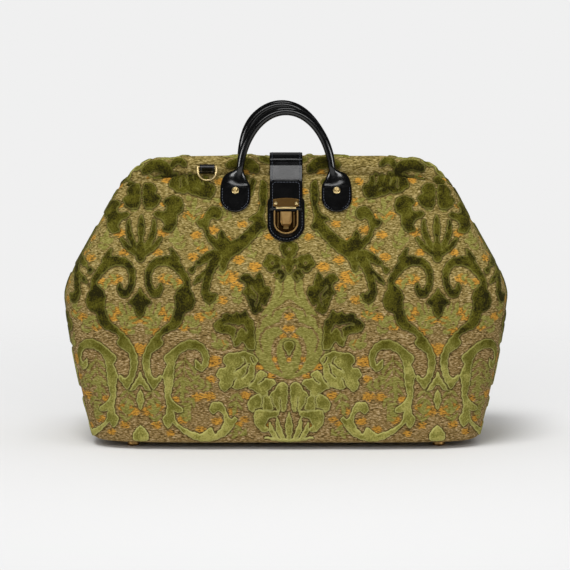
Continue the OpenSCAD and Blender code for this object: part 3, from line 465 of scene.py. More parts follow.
# painted shade round the pile's foot
outward = add(tree, "ShaderNodeMapRange", {"Value": depth_of, "From Min": -2.6, "From Max": 0.4}).outputs[0]
foot = add(tree, "ShaderNodeValToRGB", {"Fac": outward},
           stops=((0.34, "#000000"), (0.74, "#D8D8D8"))).outputs["Color"]
ground = add(tree, "ShaderNodeMix", {"Factor": foot, 6: ground, 7: linear("#2A230A")}, data_type="RGBA").outputs[2]
stands = add(tree, "ShaderNodeMapRange", {"Value": depth_of, "From Min": -0.15, "From Max": 0.45}).outputs[0]
cloth_colour = add(tree, "ShaderNodeMix", {"Factor": stands, 6: ground, 7: pile}, data_type="RGBA").outputs[2]
rough_cloth = add(tree, "ShaderNodeMix", {"Factor": stands, 2: weave, 3: tuft})
bump = add(tree, "ShaderNodeBump", {"Height": rough_cloth.outputs[0], "Strength": 0.8, "Distance": 0.9 * MM})
tree.links.new(cloth_colour, shader.inputs["Base Color"])
tree.links.new(bump.outputs["Normal"], shader.inputs["Normal"])
shader.inputs["Roughness"].default_value = 0.9
shader.inputs["IOR"].default_value = 1.5
shader.inputs["Specular IOR Level"].default_value = 0.1
shader.inputs["Sheen Weight"].default_value = 0.08
shader.inputs["Sheen Roughness"].default_value = 0.45
shader.inputs["Sheen Tint"].default_value = linear("#B9B566")
CLOTH_STEP, SIDE_STEP, CORNER_T, CORNER_STEPS = 1.3, 3.2, 45, 8
EVEN_HALF_W, EVEN_HALF_D = 250, 104
LIP_UP, LIP_IN = np.array([0.7, 0.5, -1.0]), np.array([0.9, 2.4, 3.4])


def cloth_rows():
    """Heights of the cloth's rows, evenly spaced along its middle, and how far each row is drawn in."""
    z = np.linspace(FOOT_H + EDGE_R, SEAM_Z, 4000)
    way = np.concatenate([[0], np.cumsum(np.hypot(np.diff(z), np.diff(cloth_half_d(z))))])
    rows = np.interp(np.linspace(0, way[-1], int(way[-1] / CLOTH_STEP)), way, z)
    turn = np.radians(np.linspace(0, 90, CORNER_STEPS)[:-1])
    under_z, under_in = FOOT_H + EDGE_R * (1 - np.cos(turn)), EDGE_R * (1 - np.sin(turn))
    return np.concatenate([under_z, rows, SEAM_Z + LIP_UP]), np.concatenate([under_in, 0 * rows, LIP_IN])


def cloth_columns():
    """Angles of the cloth's columns: the panel evenly spaced, the half sides coarser."""
    t = np.linspace(0, 180, 6001)
    x, y = plan_unit(t)
    way = np.concatenate([[0], np.cumsum(np.hypot(EVEN_HALF_W * np.diff(x), EVEN_HALF_D * np.diff(y)))])
    corner = np.interp(CORNER_T, t, way)
    right = np.linspace(0, corner, int(corner / SIDE_STEP))
    panel = np.linspace(corner, way[-1] - corner, int((way[-1] - 2 * corner) / CLOTH_STEP) + 1)
    left = way[-1] - right[::-1]
    return [np.interp(part, way, t) for part in (right, panel, left)]


row_z, row_in = cloth_rows()
right_t, panel_t, left_t = cloth_columns()
all_t = np.concatenate([right_t[:-1], panel_t, left_t[1:]])


# Slack of the cloth: a crease at each side, shallow waves on the slope, dimples under the shoulders, a sag below
CREASE_IN, CREASE_HALF_D, CREASE_Z, SLACK_FADE, EDGE_FADE = 5.0, 5.0, 176, 40, 30
WAVE, WAVE_FROM_X, WAVE_FROM_Z, WAVE_ALONG, WAVE_UP = 0.9, 70, 190, 31, 37
DIMPLE, DIMPLE_X, DIMPLE_Z, DIMPLE_WIDE, DIMPLE_HIGH = 2.2, 214, 214, 26, 20
SAG, SAG_FROM_Z, SAG_ALONG, SAG_UP = 1.3, 20, 47, 33


def seam_height(t):
    """Height of the cloth's top edge, which falls round the end of the roll."""
    return SEAM_Z - SHOULDER_DROP * np.abs(np.cos(np.radians(t))) ** 6


def cloth_shell(t, z, inset):
    """Points of the half shell at column angles t and row heights z, drawn in by inset."""
    drop = (seam_height(t)[None, :] - FOOT_H) / (SEAM_Z - FOOT_H)
    height = FOOT_H + (z[:, None] - FOOT_H) * drop
    ux, uy = plan_unit(t)
    x = (cloth_half_w(height) - inset[:, None]) * ux[None, :]
    y = (cloth_half_d(height) - inset[:, None]) * uy[None, :]
    side = np.exp(-(y / CREASE_HALF_D) ** 2) * eased((height - CREASE_Z) / SLACK_FADE)
    x = x - np.sign(x) * CREASE_IN * side
    slope = eased((height - WAVE_FROM_Z) / SLACK_FADE) * eased((SEAM_Z - height) / EDGE_FADE)
    wave = WAVE * np.sin(x / WAVE_ALONG + 0.7 * np.sin(height / 40)) * np.sin(height / WAVE_UP + 0.4)
    dimple = -DIMPLE * np.exp(-((np.abs(x) - DIMPLE_X) / DIMPLE_WIDE) ** 2 - ((height - DIMPLE_Z) / DIMPLE_HIGH) ** 2)
    sag = SAG * np.sin(x / SAG_ALONG + 1.0) * np.sin(height / SAG_UP)
    sag = sag * eased((height - SAG_FROM_Z) / EDGE_FADE) * eased((CREASE_Z - height) / SLACK_FADE)
    y = y - (wave * slope * (np.abs(x) > WAVE_FROM_X) + dimple + sag) * np.abs(uy[None, :])
    return np.stack([x, y, height], -1)


shell = cloth_shell(all_t, row_z, row_in)
steps = np.linalg.norm(np.diff(shell, axis=1), axis=2)
middle_column = int(np.argmin(np.abs(all_t - 90)))
across = np.concatenate([np.zeros((len(shell), 1)), np.cumsum(steps, 1)], 1)
across = across - across[:, middle_column:middle_column + 1]
VIEW_TILT = math.radians(8)
front_up = (row_z - FOOT_H) * math.cos(VIEW_TILT) + (BASE_HALF_D - cloth_half_d(row_z)) * math.sin(VIEW_TILT)
pattern = damask(across, np.repeat(front_up[:, None], len(all_t), 1))
# leather presses the pile flat where it lies on it: the strap with its patch, and the handle's two tabs
PRESSED, PRESS_FADE = ((-24, 24, 236, 330), (-80, -40, 270, 330), (40, 80, 270, 330)), 6
PILE_H, PILE_EDGE, FLAT_H, FLAT_EDGE = 1.9, 2.6, 0.4, 1.2
pressed = np.ones(across.shape)
for x0, x1, z0, z1 in PRESSED:
    beside_x = np.maximum(x0 - shell[..., 0], shell[..., 0] - x1)
    beside_z = np.maximum(z0 - shell[..., 2], shell[..., 2] - z1)
    pressed = np.minimum(pressed, eased(np.maximum(beside_x, beside_z) / PRESS_FADE + 0.5))
inner = np.clip(pattern[0] / PILE_EDGE, 0, 1)
relief = PILE_H * np.sqrt(1 - (1 - inner) ** 2) * pressed
relief += FLAT_H * eased(pattern[2] / FLAT_EDGE) * (inner == 0) * pressed
relief *= np.clip((row_z - FOOT_H) / 4, 0, 1)[:, None] * np.clip((SEAM_Z - 0.5 - row_z) / 3, 0, 1)[:, None]
along, upward = np.gradient(shell, axis=1), np.gradient(shell, axis=0)
normal = np.cross(along, upward)
normal /= np.maximum(np.linalg.norm(normal, axis=2, keepdims=True), 1e-9)
normal *= np.sign(np.sum(normal * shell * [1, 1, 0], axis=2, keepdims=True))
shell = shell + normal * relief[..., None]


def make_piece(name, points, faces, material, smooth=True):
    """A mesh object from points in millimetres."""
    mesh = bpy.data.meshes.new(name)
    mesh.from_pydata((np.asarray(points, float) * MM).tolist(), [], [tuple(f) for f in faces])
    mesh.update()
    mesh.polygons.foreach_set("use_smooth", [smooth] * len(mesh.polygons))
    mesh.materials.append(material)
    piece = bpy.data.objects.new(name, mesh)
    bpy.context.scene.collection.objects.link(piece)
    return piece


def grid_faces(rows, cols, closed=False):
    """Quads of a grid of points, the columns closed into a ring if asked."""
    last = cols if closed else cols - 1
    return [(r * cols + c, r * cols + (c + 1) % cols, (r + 1) * cols + (c + 1) % cols, (r + 1) * cols + c)
            for r in range(rows - 1) for c in range(last)]


def turned_back(points):
    """The same points on the back of the bag, turned half round about the upright axis."""
    return np.asarray(points) * np.array([-1, -1, 1])


def paint_damask(piece, pattern):
    """Keeps the pattern on the piece's points, for its material."""
    for name, values in zip(PAINTED, pattern):
        kept = piece.data.attributes.new(name, "FLOAT", "POINT")
        kept.data.foreach_set("value", np.ascontiguousarray(values, np.float32).ravel())


first, last = len(right_t) - 1, len(right_t) - 1 + len(panel_t) - 1
for side, jaw in (("front", "front_jaw"), ("rear", "rear_jaw")):
    for part, c0, c1 in (("right_side", 0, first), ("panel", first, last), ("left_side", last, len(all_t) - 1)):
        points = shell[:, c0:c1 + 1].reshape(-1, 3)
        points = points if side == "front" else turned_back(points)
        faces = [f[::-1] for f in grid_faces(len(shell), c1 - c0 + 1)]
        piece = make_piece(side + "_carpet_" + part, points, faces, carpet)
        paint_damask(piece, [v[:, c0:c1 + 1] for v in pattern])
        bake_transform(piece)
        if part == "panel":
            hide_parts(side + "_panel", side + "_pile", side + "_panel_upper", side + "_pile_upper")
        else:
            gusset = "right_gusset" if (part == "right_side") == (side == "front") else "left_gusset"
            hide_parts(gusset)

# ---------------------------------------------------------------------------------------------------------------
# Side folds: the sides are cut wide and fold inward between the two frames, so that the bag can open. The same
# carpet cloth, seen only when the mouth is open.
FOLD_DEPTH, FOLD_DEEPENS, FOLD_INSET, FOLD_GAP, FOLD_BULGE, FOLD_SWELLS = 45, 10, 5.6, 0.5, 2.4, 30
FOLD_ROWS, FOLD_COLUMNS, FOLD_LOW_ROW = 66, 27, 13
fold_z = np.linspace(HINGE_Z + 8, SEAM_Z - SHOULDER_DROP - 2, FOLD_ROWS)
fold_in = np.linspace(0, 1, FOLD_COLUMNS)
fold_pattern = damask(np.abs(across[0, 0]) + FOLD_DEPTH * fold_in[None, :] + 0 * fold_z[:, None],
                      fold_z[:, None] - FOOT_H + 0 * fold_in[None, :])
depth_in = FOLD_DEPTH * (1 - np.exp(-(fold_z - HINGE_Z) / FOLD_DEEPENS))
edge = cloth_half_w(fold_z) - FOLD_INSET
x = edge[:, None] - depth_in[:, None] * fold_in[None, :]
y = FOLD_GAP + FOLD_BULGE * np.sin(math.pi * fold_in)[None, :] * eased((fold_z - HINGE_Z) / FOLD_SWELLS)[:, None]
y[:, -1] = 0
for side, jaw, toward in (("front", "front_jaw", -1), ("rear", "rear_jaw", 1)):
    for end, sign in (("right", 1), ("left", -1)):
        points = np.stack([sign * x, toward * y, np.repeat(fold_z[:, None], len(fold_in), 1)], -1)
        faces = grid_faces(len(fold_z), len(fold_in))
        piece = make_piece("%s_%s_fold" % (side, end), points.reshape(-1, 3), faces, carpet)
        paint_damask(piece, fold_pattern)
        top, low = np.array([edge[-1], fold_z[-1]]), np.array([edge[FOLD_LOW_ROW], fold_z[FOLD_LOW_ROW]])
        run = (top - low) / np.linalg.norm(top - low)
        inward = np.array([-run[1], run[0]]) * (1 if -run[1] < 0 else -1)
        outer, within = top, top + inward * FOLD_DEPTH * run[1]
        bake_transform(piece)

# ---------------------------------------------------------------------------------------------------------------
# Bottom: carpet cloth turned in under the sides and sewn to a stiffening board, which lies inside. Four turned
# brass feet are riveted through both.
BASE_EDGE, BASE_RISE, BASE_POWER = EDGE_R - 0.2, 0.5, 6
ring_t = np.arange(0, 360, 3.0)
ux, uy = plan_unit(ring_t)
shares = np.concatenate([[0.02], np.linspace(0.1, 0.9, 14), [0.96, 1.0]])
points = np.stack([(BASE_HALF_W - BASE_EDGE) * shares[:, None] * ux, (BASE_HALF_D - BASE_EDGE) * shares[:, None] * uy,
                   np.repeat(FOOT_H + BASE_RISE * (1 - shares[:, None] ** BASE_POWER), len(ring_t), 1)], -1)
faces = grid_faces(len(shares), len(ring_t), closed=True) + [tuple(range(len(ring_t)))[::-1]]
bottom = make_piece("bottom_cloth", points.reshape(-1, 3), faces, carpet)
plain = np.zeros(points.shape[:2])
paint_damask(bottom, [plain - PILE_REACH, plain, plain - FLAT_REACH, plain])
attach(bottom, "bag")
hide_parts("base_panel")

# Brown board: pressed paper pulp, dull, with faint darker fibres
FIBRE = 3.0
board, tree, shader = new_material("brown_board")
place = add(tree, "ShaderNodeTexCoord").outputs["Object"]
fibre = add(tree, "ShaderNodeTexNoise", {"Vector": place, "Scale": 1 / (FIBRE * MM), "Detail": 4.0}).outputs["Fac"]
colour = add(tree, "ShaderNodeMix", {"Factor": fibre, 6: linear("#6B5034"), 7: linear("#86684A")}, data_type="RGBA")
tree.links.new(colour.outputs[2], shader.inputs["Base Color"])
shader.inputs["Roughness"].default_value = 0.9
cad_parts["base_board"].data.materials.clear()
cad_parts["base_board"].data.materials.append(board)

# Antique brass: plated and patchy, lighter on sharp edges (rubbed wear and painted highlight), with fine rub marks
RUB, PATINA = 0.9, 6.0
antique, tree, shader = new_material("antique_brass")
place = add(tree, "ShaderNodeTexCoord").outputs["Object"]
rub_marks = add(tree, "ShaderNodeTexNoise", {"Vector": place, "Scale": 1 / (RUB * MM), "Detail": 3.0}).outputs["Fac"]
patina = add(tree, "ShaderNodeTexNoise", {"Vector": place, "Scale": 1 / (PATINA * MM), "Detail": 4.0}).outputs["Fac"]
# sharp edges lighter: rubbed wear and a painted highlight
edges = add(tree, "ShaderNodeMapRange", {"Value": add(tree, "ShaderNodeNewGeometry").outputs["Pointiness"],
                                         "From Min": 0.5, "From Max": 0.58})
colour = add(tree, "ShaderNodeMix", {"Factor": patina, 6: linear("#4A3014"), 7: linear("#80592A")}, data_type="RGBA")
colour = add(tree, "ShaderNodeMix", {"Factor": edges.outputs[0], 6: colour.outputs[2], 7: linear("#B8945A")},
             data_type="RGBA")
worn = add(tree, "ShaderNodeMapRange", {"Value": patina, "From Min": 0.3, "From Max": 0.7, "To Min": 0.42,
                                        "To Max": 0.26})
bump = add(tree, "ShaderNodeBump", {"Height": rub_marks, "Strength": 0.12, "Distance": 0.1 * MM})
tree.links.new(colour.outputs[2], shader.inputs["Base Color"])
tree.links.new(worn.outputs[0], shader.inputs["Roughness"])
tree.links.new(bump.outputs["Normal"], shader.inputs["Normal"])
shader.inputs["Metallic"].default_value = 1.0
worn.name = "worn"


def refinished(name, dark, light, rough_from, rough_to):
    """The antique brass again in other colours and roughness: rubbed wear with a painted highlight, or painted shade.
    """
    brass = antique.copy()
    brass.name = name
    for node in brass.node_tree.nodes:
        if node.bl_idname == "ShaderNodeMix":
            node.inputs[6].default_value, node.inputs[7].default_value = linear(dark), linear(light)
    rough = brass.node_tree.nodes["worn"].inputs
    rough["To Min"].default_value, rough["To Max"].default_value = rough_from, rough_to
    return brass


# lighter copy for the rubbed edges, which also carries a painted highlight
rubbed_and_highlit = refinished("rubbed_and_highlit_brass", "#8F6B3A", "#C9A56C", 0.6, 0.5)
# near-black copy for painted shade in the lock's floor
painted_shade_brass = refinished("dark_brass_painted_shade", "#1E1306", "#3C2812", 0.45, 0.35)
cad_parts["feet"].data.materials.clear()
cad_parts["feet"].data.materials.append(antique)

# ---------------------------------------------------------------------------------------------------------------
# Lining: dark cotton, sewn in along the seam under each roll and hanging against the carpet cloth. Each half follows
# the shape of its side of the bag, and a floor piece covers the board.
LINING_IN, LINING_T, LINING_SLACK, SLACK_REACH, LINING_WAVE, LINING_FOLDS = 4.4, 0.8, 13.0, 38, 0.8, 26
LINING_LOW, LINING_TOP, LINING_GAP = FOOT_H + 7.4, SEAM_Z - 1.5, 0.4
# Plain cotton: matt, with a faint weave. Its threads are drawn at 1.1 mm, twice as coarse as real ones, so they show.
THREAD, SLUB = 1.1, 14.0
cotton, tree, shader = new_material("plain_cotton")
place = add(tree, "ShaderNodeTexCoord").outputs["Object"]
warp, weft = [add(tree, "ShaderNodeTexWave",
                  {"Vector": place, "Scale": math.tau / (20 * THREAD * MM), "Distortion": 0.6},
                  wave_type="BANDS", bands_direction=way).outputs["Fac"] for way in "XZ"]
weave = add(tree, "ShaderNodeMath", {0: warp, 1: weft}, operation="MULTIPLY")
slub = add(tree, "ShaderNodeTexNoise", {"Vector": place, "Scale": 1 / (SLUB * MM), "Detail": 3.0}).outputs["Fac"]
colour = add(tree, "ShaderNodeMix", {"Factor": slub, 6: linear("#34332A"), 7: linear("#46442F")}, data_type="RGBA")
bump = add(tree, "ShaderNodeBump", {"Height": weave.outputs[0], "Strength": 0.3, "Distance": 0.3 * MM})
tree.links.new(colour.outputs[2], shader.inputs["Base Color"])
tree.links.new(bump.outputs["Normal"], shader.inputs["Normal"])
shader.inputs["Roughness"].default_value = 0.9
shader.inputs["Sheen Weight"].default_value = 0.1


def settle(piece):
    """Turns a piece's modifiers into its own mesh."""
    made = bpy.data.meshes.new_from_object(piece.evaluated_get(bpy.context.evaluated_depsgraph_get()))
    piece.modifiers.clear()
    piece.data = made


lining_t = np.linspace(1.5, 178.5, 110)
lining_z = np.linspace(LINING_LOW, LINING_TOP, 64)
inner_shell = cloth_shell(lining_t, lining_z, np.full(len(lining_z), LINING_IN))
hang = np.sin(np.radians(lining_t) * LINING_FOLDS)[None, :] * np.sin((lining_z - FOOT_H) / 300 * math.pi)[:, None]
inner_shell[..., 1] += np.abs(LINING_WAVE * hang)
slack = LINING_SLACK * np.exp(-((lining_z - HINGE_Z - 8) / SLACK_REACH) ** 2)
inner_shell[..., 1] += slack[:, None] * np.sin(np.radians(lining_t))[None, :] ** 2
inner_shell[..., 1] = np.minimum(inner_shell[..., 1], -LINING_GAP)
for side, jaw in (("front", "front_jaw"), ("rear", "rear_jaw")):
    points = inner_shell.reshape(-1, 3)
    points = points if side == "front" else turned_back(points)
    piece = make_piece(side + "_lining_cloth", points, grid_faces(len(lining_z), len(lining_t)), cotton)
    thick = piece.modifiers.new("thickness", "SOLIDIFY")
    thick.thickness, thick.offset = LINING_T * MM, 1.0
    settle(piece)
    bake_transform(piece)
    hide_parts(side + "_lining")

# the floor of the lining lies on the board
FLOOR_HALF_W, FLOOR_HALF_D, FLOOR_Z = BASE_HALF_W - 12, BASE_HALF_D - 12, FOOT_H + 7.6
points = np.stack([FLOOR_HALF_W * shares[:, None] * ux, FLOOR_HALF_D * shares[:, None] * uy,
                   np.repeat(FLOOR_Z + 0 * shares[:, None], len(ring_t), 1)], -1)
faces = [f[::-1] for f in grid_faces(len(shares), len(ring_t), closed=True)] + [tuple(range(len(ring_t)))]
floor_cloth = make_piece("lining_floor", points.reshape(-1, 3), faces, cotton)
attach(floor_cloth, "bag")
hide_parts("lining")

# ---------------------------------------------------------------------------------------------------------------
# Frames and hinge pins: bent steel rod, one frame to each side, with flattened eyes that turn on a flanged pin at
# each end of the bag. Plain drawn steel with faint draw lines.
DRAW_MARK = 1.2
steel, tree, shader = new_material("drawn_steel")
place = add(tree, "ShaderNodeTexCoord").outputs["Object"]
drawn = add(tree, "ShaderNodeTexNoise", {"Vector": place, "Scale": 1 / (DRAW_MARK * MM),
                                         "Detail": 2.0}).outputs["Fac"]
colour = add(tree, "ShaderNodeMix", {"Factor": drawn, 6: linear("#7C8084"), 7: linear("#9DA1A4")}, data_type="RGBA")
dulled = add(tree, "ShaderNodeMapRange", {"Value": drawn, "To Min": 0.28, "To Max": 0.42})
tree.links.new(colour.outputs[2], shader.inputs["Base Color"])
tree.links.new(dulled.outputs[0], shader.inputs["Roughness"])
shader.inputs["Metallic"].default_value = 1.0
for name in ("front_frame", "rear_frame", "hinge_pins", "lock_spring", "lock_back_plate"):
    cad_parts[name].data.materials.clear()
    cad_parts[name].data.materials.append(antique if name == "lock_spring" else steel)

# ---------------------------------------------------------------------------------------------------------------
# Rolls: a strip of the carpet cloth, padded and sewn round the top bar of each frame, down over its bends. Its ends
# go behind the corners of the panel.
ROLL_R, ROLL_Y, ROLL_Z = 9.3, 10.4, 328
BEND_R, BAR_HALF, LEG_A = 32, 151.8, math.radians(24.1)
TAIL_L, ROLL_DROOP, DROOP_FROM, DROOP_OVER = 24, 4.5, 95, 75
ROLL_PILE_H, PUCKER, PUCKER_L, STRAP_BED = 1.8, 0.7, 8.5, 21
SEAM_PULL, SEAM_A, SEAM_SPREAD, LOWEST_A = 3.4, math.radians(58), math.radians(24), math.radians(60)
END_TAPER, END_L = 0.35, 14
quarter = np.linspace(math.pi / 2, LEG_A, 26)
bend_x, bend_z = BAR_HALF + BEND_R * np.cos(quarter), ROLL_Z - BEND_R + BEND_R * np.sin(quarter)
tail = np.linspace(0, TAIL_L, 12)[1:]
straight = np.linspace(0, BAR_HALF, 118)[:-1]
half_path = np.concatenate([np.stack([straight, np.full(len(straight), float(ROLL_Z))], 1),
                            np.stack([bend_x, bend_z], 1),
                            np.stack([bend_x[-1] + tail * math.sin(LEG_A), bend_z[-1] - tail * math.cos(LEG_A)], 1)])
half_path[:, 1] -= ROLL_DROOP * eased((half_path[:, 0] - DROOP_FROM) / DROOP_OVER)
path = np.concatenate([half_path[:0:-1] * [-1, 1], half_path])
tangent = np.gradient(path, axis=0)
tangent /= np.linalg.norm(tangent, axis=1, keepdims=True)
length = np.concatenate([[0], np.cumsum(np.linalg.norm(np.diff(path, axis=0), axis=1))])
length -= length[len(length) // 2]
around = np.radians(np.arange(0, 360, 10.0))
outward = np.stack([-tangent[:, 1], tangent[:, 0]], 1)
# angle 0 faces the front and 90 degrees the outside of the bend
roll_across = np.repeat(length[:, None], len(around), 1)
turn = np.mod(around + LOWEST_A, math.tau) - LOWEST_A
roll_up = (SEAM_Z + ROLL_R * (turn + LOWEST_A))[None, :] + 0 * roll_across
roll_pattern = damask(roll_across, roll_up)
inner = np.clip(roll_pattern[0] / PILE_EDGE, 0, 1)
pucker = np.sin(length[:, None] / PUCKER_L + 2 * np.sin(length / 23)[:, None] + 0.8 * around[None, :])
pucker = pucker * (0.6 + 0.4 * np.sin(2 * around))[None, :]
beside_strap = eased((np.abs(length) - STRAP_BED) / 5)[:, None]
radius = ROLL_R + (ROLL_PILE_H * np.sqrt(1 - (1 - inner) ** 2) + PUCKER * pucker) * beside_strap
# the cloth is drawn down to the seam, so the roll lies on the top of the slope, and it is gathered at both ends
radius += (SEAM_PULL * np.exp(-((turn + SEAM_A) / SEAM_SPREAD) ** 2))[None, :]
radius = radius * (1 - END_TAPER * eased((np.abs(length) - np.abs(length).max() + END_L) / END_L))[:, None]
points = np.stack([path[:, 0:1] + outward[:, 0:1] * radius * np.sin(around),
                   -ROLL_Y - radius * np.cos(around),
                   path[:, 1:2] + outward[:, 1:2] * radius * np.sin(around)], -1)
count = len(around)
faces = [f[::-1] for f in grid_faces(len(path), count, closed=True)]
faces += [tuple(range(count)), tuple((len(path) - 1) * count + k for k in range(count))[::-1]]
for side, jaw in (("front", "front_jaw"), ("rear", "rear_jaw")):
    flat_points = points.reshape(-1, 3)
    flat_points = flat_points if side == "front" else turned_back(flat_points)
    roll = make_piece(side + "_padded_roll", flat_points, faces, carpet)
    paint_damask(roll, roll_pattern)
    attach(roll, jaw)
    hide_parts(side + "_roll")

# ---------------------------------------------------------------------------------------------------------------
# Handles: black leather rolled round a cord and sewn into an arch. Each end narrows to a neck and flares into a flat
# tab with shoulders, which is stitched round its edge and riveted through the slope.
SLOPE_A = math.atan((TUCKED_HALF_D - SEAM_HALF_D) / (SEAM_Z - HINGE_Z))
SLOPE_SIN, SLOPE_COS = math.sin(SLOPE_A), math.cos(SLOPE_A)
HANDLE_R, HANDLE_Y, ARCH_HALF_W, ARCH_H, ARCH_Z = 5.2, 27.9, 55, 79.2, 315
REAR_LEAN, REAR_LEAN_FROM, REAR_LEAN_OVER = (-5.0, 0.0, 2.6), 325, 60
TAB_X, TAB_HALF_W, TAB_T, TAB_LIFT, TAB_ROUND_S, TAB_END_S = 60, 18, 3.5, 0.5, 32, 50
TUBE_ROUND, TAB_SQUARE, TAB_MID = 2.0, 4.5, TAB_LIFT + TAB_T / 2
LEAN_FROM, LEAN_OVER, NECK_STEPS, NECK_SMOOTHED = 333, 26, 48, 5
TAB_HEM, TAB_HEM_TOP, TAB_HEM_OUT = 2.6, 14, 3.72
NECK_TOP, THIN_W, THIN_T = (54.8, -27.4, 325.5, 4.7, 4.6), 0.9, 0.6


def on_slope(places, x=0, s=0):
    """Places across, up the front slope and out of it, put x along the bag and s down from the seam."""
    p = np.asarray(places, float)
    return np.stack([x + p[..., 0],
                     -SEAM_HALF_D - SLIT - (s - p[..., 1]) * SLOPE_SIN - p[..., 2] * SLOPE_COS,
                     SEAM_Z - (s - p[..., 1]) * SLOPE_COS + p[..., 2] * SLOPE_SIN], -1)


def loft(centres, wide, out, half_w, half_t, power, around=24):
    """A closed body through flat sections: centre, wide and out directions, half sizes and squareness of each."""
    turn = np.arange(around) / around * math.tau
    c, s = np.cos(turn)[None, :], np.sin(turn)[None, :]
    e = 2 / np.asarray(power, float)[:, None]
    across = np.sign(c) * np.abs(c) ** e * np.asarray(half_w)[:, None]
    raised = np.sign(s) * np.abs(s) ** e * np.asarray(half_t)[:, None]
    points = (np.asarray(centres)[:, None, :] + across[..., None] * np.asarray(wide)[:, None, :]
              + raised[..., None] * np.asarray(out)[:, None, :])
    faces = grid_faces(len(points), around, closed=True)
    faces += [tuple(range(around))[::-1], tuple((len(points) - 1) * around + k for k in range(around))]
    return points.reshape(-1, 3), faces


def stitch_row(line, out, length=2.6, pitch=3.6, thick=0.75):
    """Raised stitches along a line of points, lying in the surface whose outward directions are given."""
    line, out = np.asarray(line, float), np.asarray(out, float)
    way = np.concatenate([[0], np.cumsum(np.linalg.norm(np.diff(line, axis=0), axis=1))])
    places = np.arange(pitch / 2, way[-1], pitch)
    rings, sides = [(-1, 0.25), (-0.75, 0.8), (0, 1), (0.75, 0.8), (1, 0.25)], 6
    points, faces = [], []
    for at in places:
        ahead = [np.interp(at + length / 4, way, line[:, k]) - np.interp(at - length / 4, way, line[:, k])
                 for k in range(3)]
        ahead = np.array(ahead) / max(np.linalg.norm(ahead), 1e-9)
        centre = np.array([np.interp(at, way, line[:, k]) for k in range(3)])
        up = np.array([np.interp(at, way, out[:, k]) for k in range(3)])
        aside = np.cross(ahead, up)
        aside /= np.linalg.norm(aside)
        up = np.cross(aside, ahead)
        first = len(points)
        for u, r in rings:
            for k in range(sides):
                a = k * math.tau / sides
                rounded = (aside * math.cos(a) + up * 0.8 * math.sin(a)) * r * thick / 2
                points.append(centre + ahead * u * length / 2 + rounded)
        faces += [tuple(first + i for i in f) for f in grid_faces(len(rings), sides, closed=True)]
        faces += [tuple(first + k for k in range(sides))[::-1],
                  tuple(first + (len(rings) - 1) * sides + k for k in range(sides))]
    return np.array(points), faces


def joined(*parts):
    """Several bodies of points and faces as one."""
    points, faces = [], []
    for p, f in parts:
        start = sum(len(x) for x in points)
        points.append(np.asarray(p))
        faces += [tuple(start + i for i in face) for face in f]
    return np.concatenate(points), faces


# Bridle leather: black, dressed with wax, so it is smooth and glossy with a fine grain of about 0.8 mm
GRAIN, HANDLING = 0.8, 9.0
leather, tree, shader = new_material("waxed_bridle_leather")
place = add(tree, "ShaderNodeTexCoord").outputs["Object"]
grain = add(tree, "ShaderNodeTexVoronoi", {"Vector": place, "Scale": 1 / (GRAIN * MM)},
            feature="DISTANCE_TO_EDGE").outputs[0]
handling = add(tree, "ShaderNodeTexNoise", {"Vector": place, "Scale": 1 / (HANDLING * MM),
                                            "Detail": 3.0}).outputs["Fac"]
colour = add(tree, "ShaderNodeMix", {"Factor": handling, 6: linear("#020202"), 7: linear("#060607")},
             data_type="RGBA")
polish = add(tree, "ShaderNodeMapRange", {"Value": handling, "From Min": 0.3, "From Max": 0.7, "To Min": 0.14,
                                          "To Max": 0.21})
bump = add(tree, "ShaderNodeBump", {"Height": grain, "Strength": 0.08, "Distance": 0.1 * MM})
tree.links.new(colour.outputs[2], shader.inputs["Base Color"])
tree.links.new(polish.outputs[0], shader.inputs["Roughness"])
tree.links.new(bump.outputs["Normal"], shader.inputs["Normal"])
shader.inputs["IOR"].default_value = 1.5
shader.inputs["Coat Weight"].default_value = 0.2
shader.inputs["Coat Roughness"].default_value = 0.08

# Waxed linen thread: dark slate, a little greyer than the leather, with the twist of its strands
TWIST = 0.5
thread, tree, shader = new_material("waxed_thread")
place = add(tree, "ShaderNodeTexCoord").outputs["Object"]
twist = add(tree, "ShaderNodeTexNoise", {"Vector": place, "Scale": 1 / (TWIST * MM), "Detail": 1.0}).outputs["Fac"]
colour = add(tree, "ShaderNodeMix", {"Factor": twist, 6: linear("#2C3038"), 7: linear("#5A606C")}, data_type="RGBA")
tree.links.new(colour.outputs[2], shader.inputs["Base Color"])
shader.inputs["Roughness"].default_value = 0.3

# one half of the handle from its crown to the end of a tab: x, y, z, half width, half thickness, squareness
stations = []
for a in np.radians(np.linspace(90, 10, 25)):
    thinner = (1 - math.sin(a)) ** 2
    stations.append((ARCH_HALF_W * math.cos(a), -HANDLE_Y, ARCH_Z + ARCH_H * math.sin(a),
                     HANDLE_R - THIN_W * thinner, HANDLE_R - THIN_T * thinner, TUBE_ROUND))
arch_count = len(stations)
stations.append(NECK_TOP + (TUBE_ROUND,))
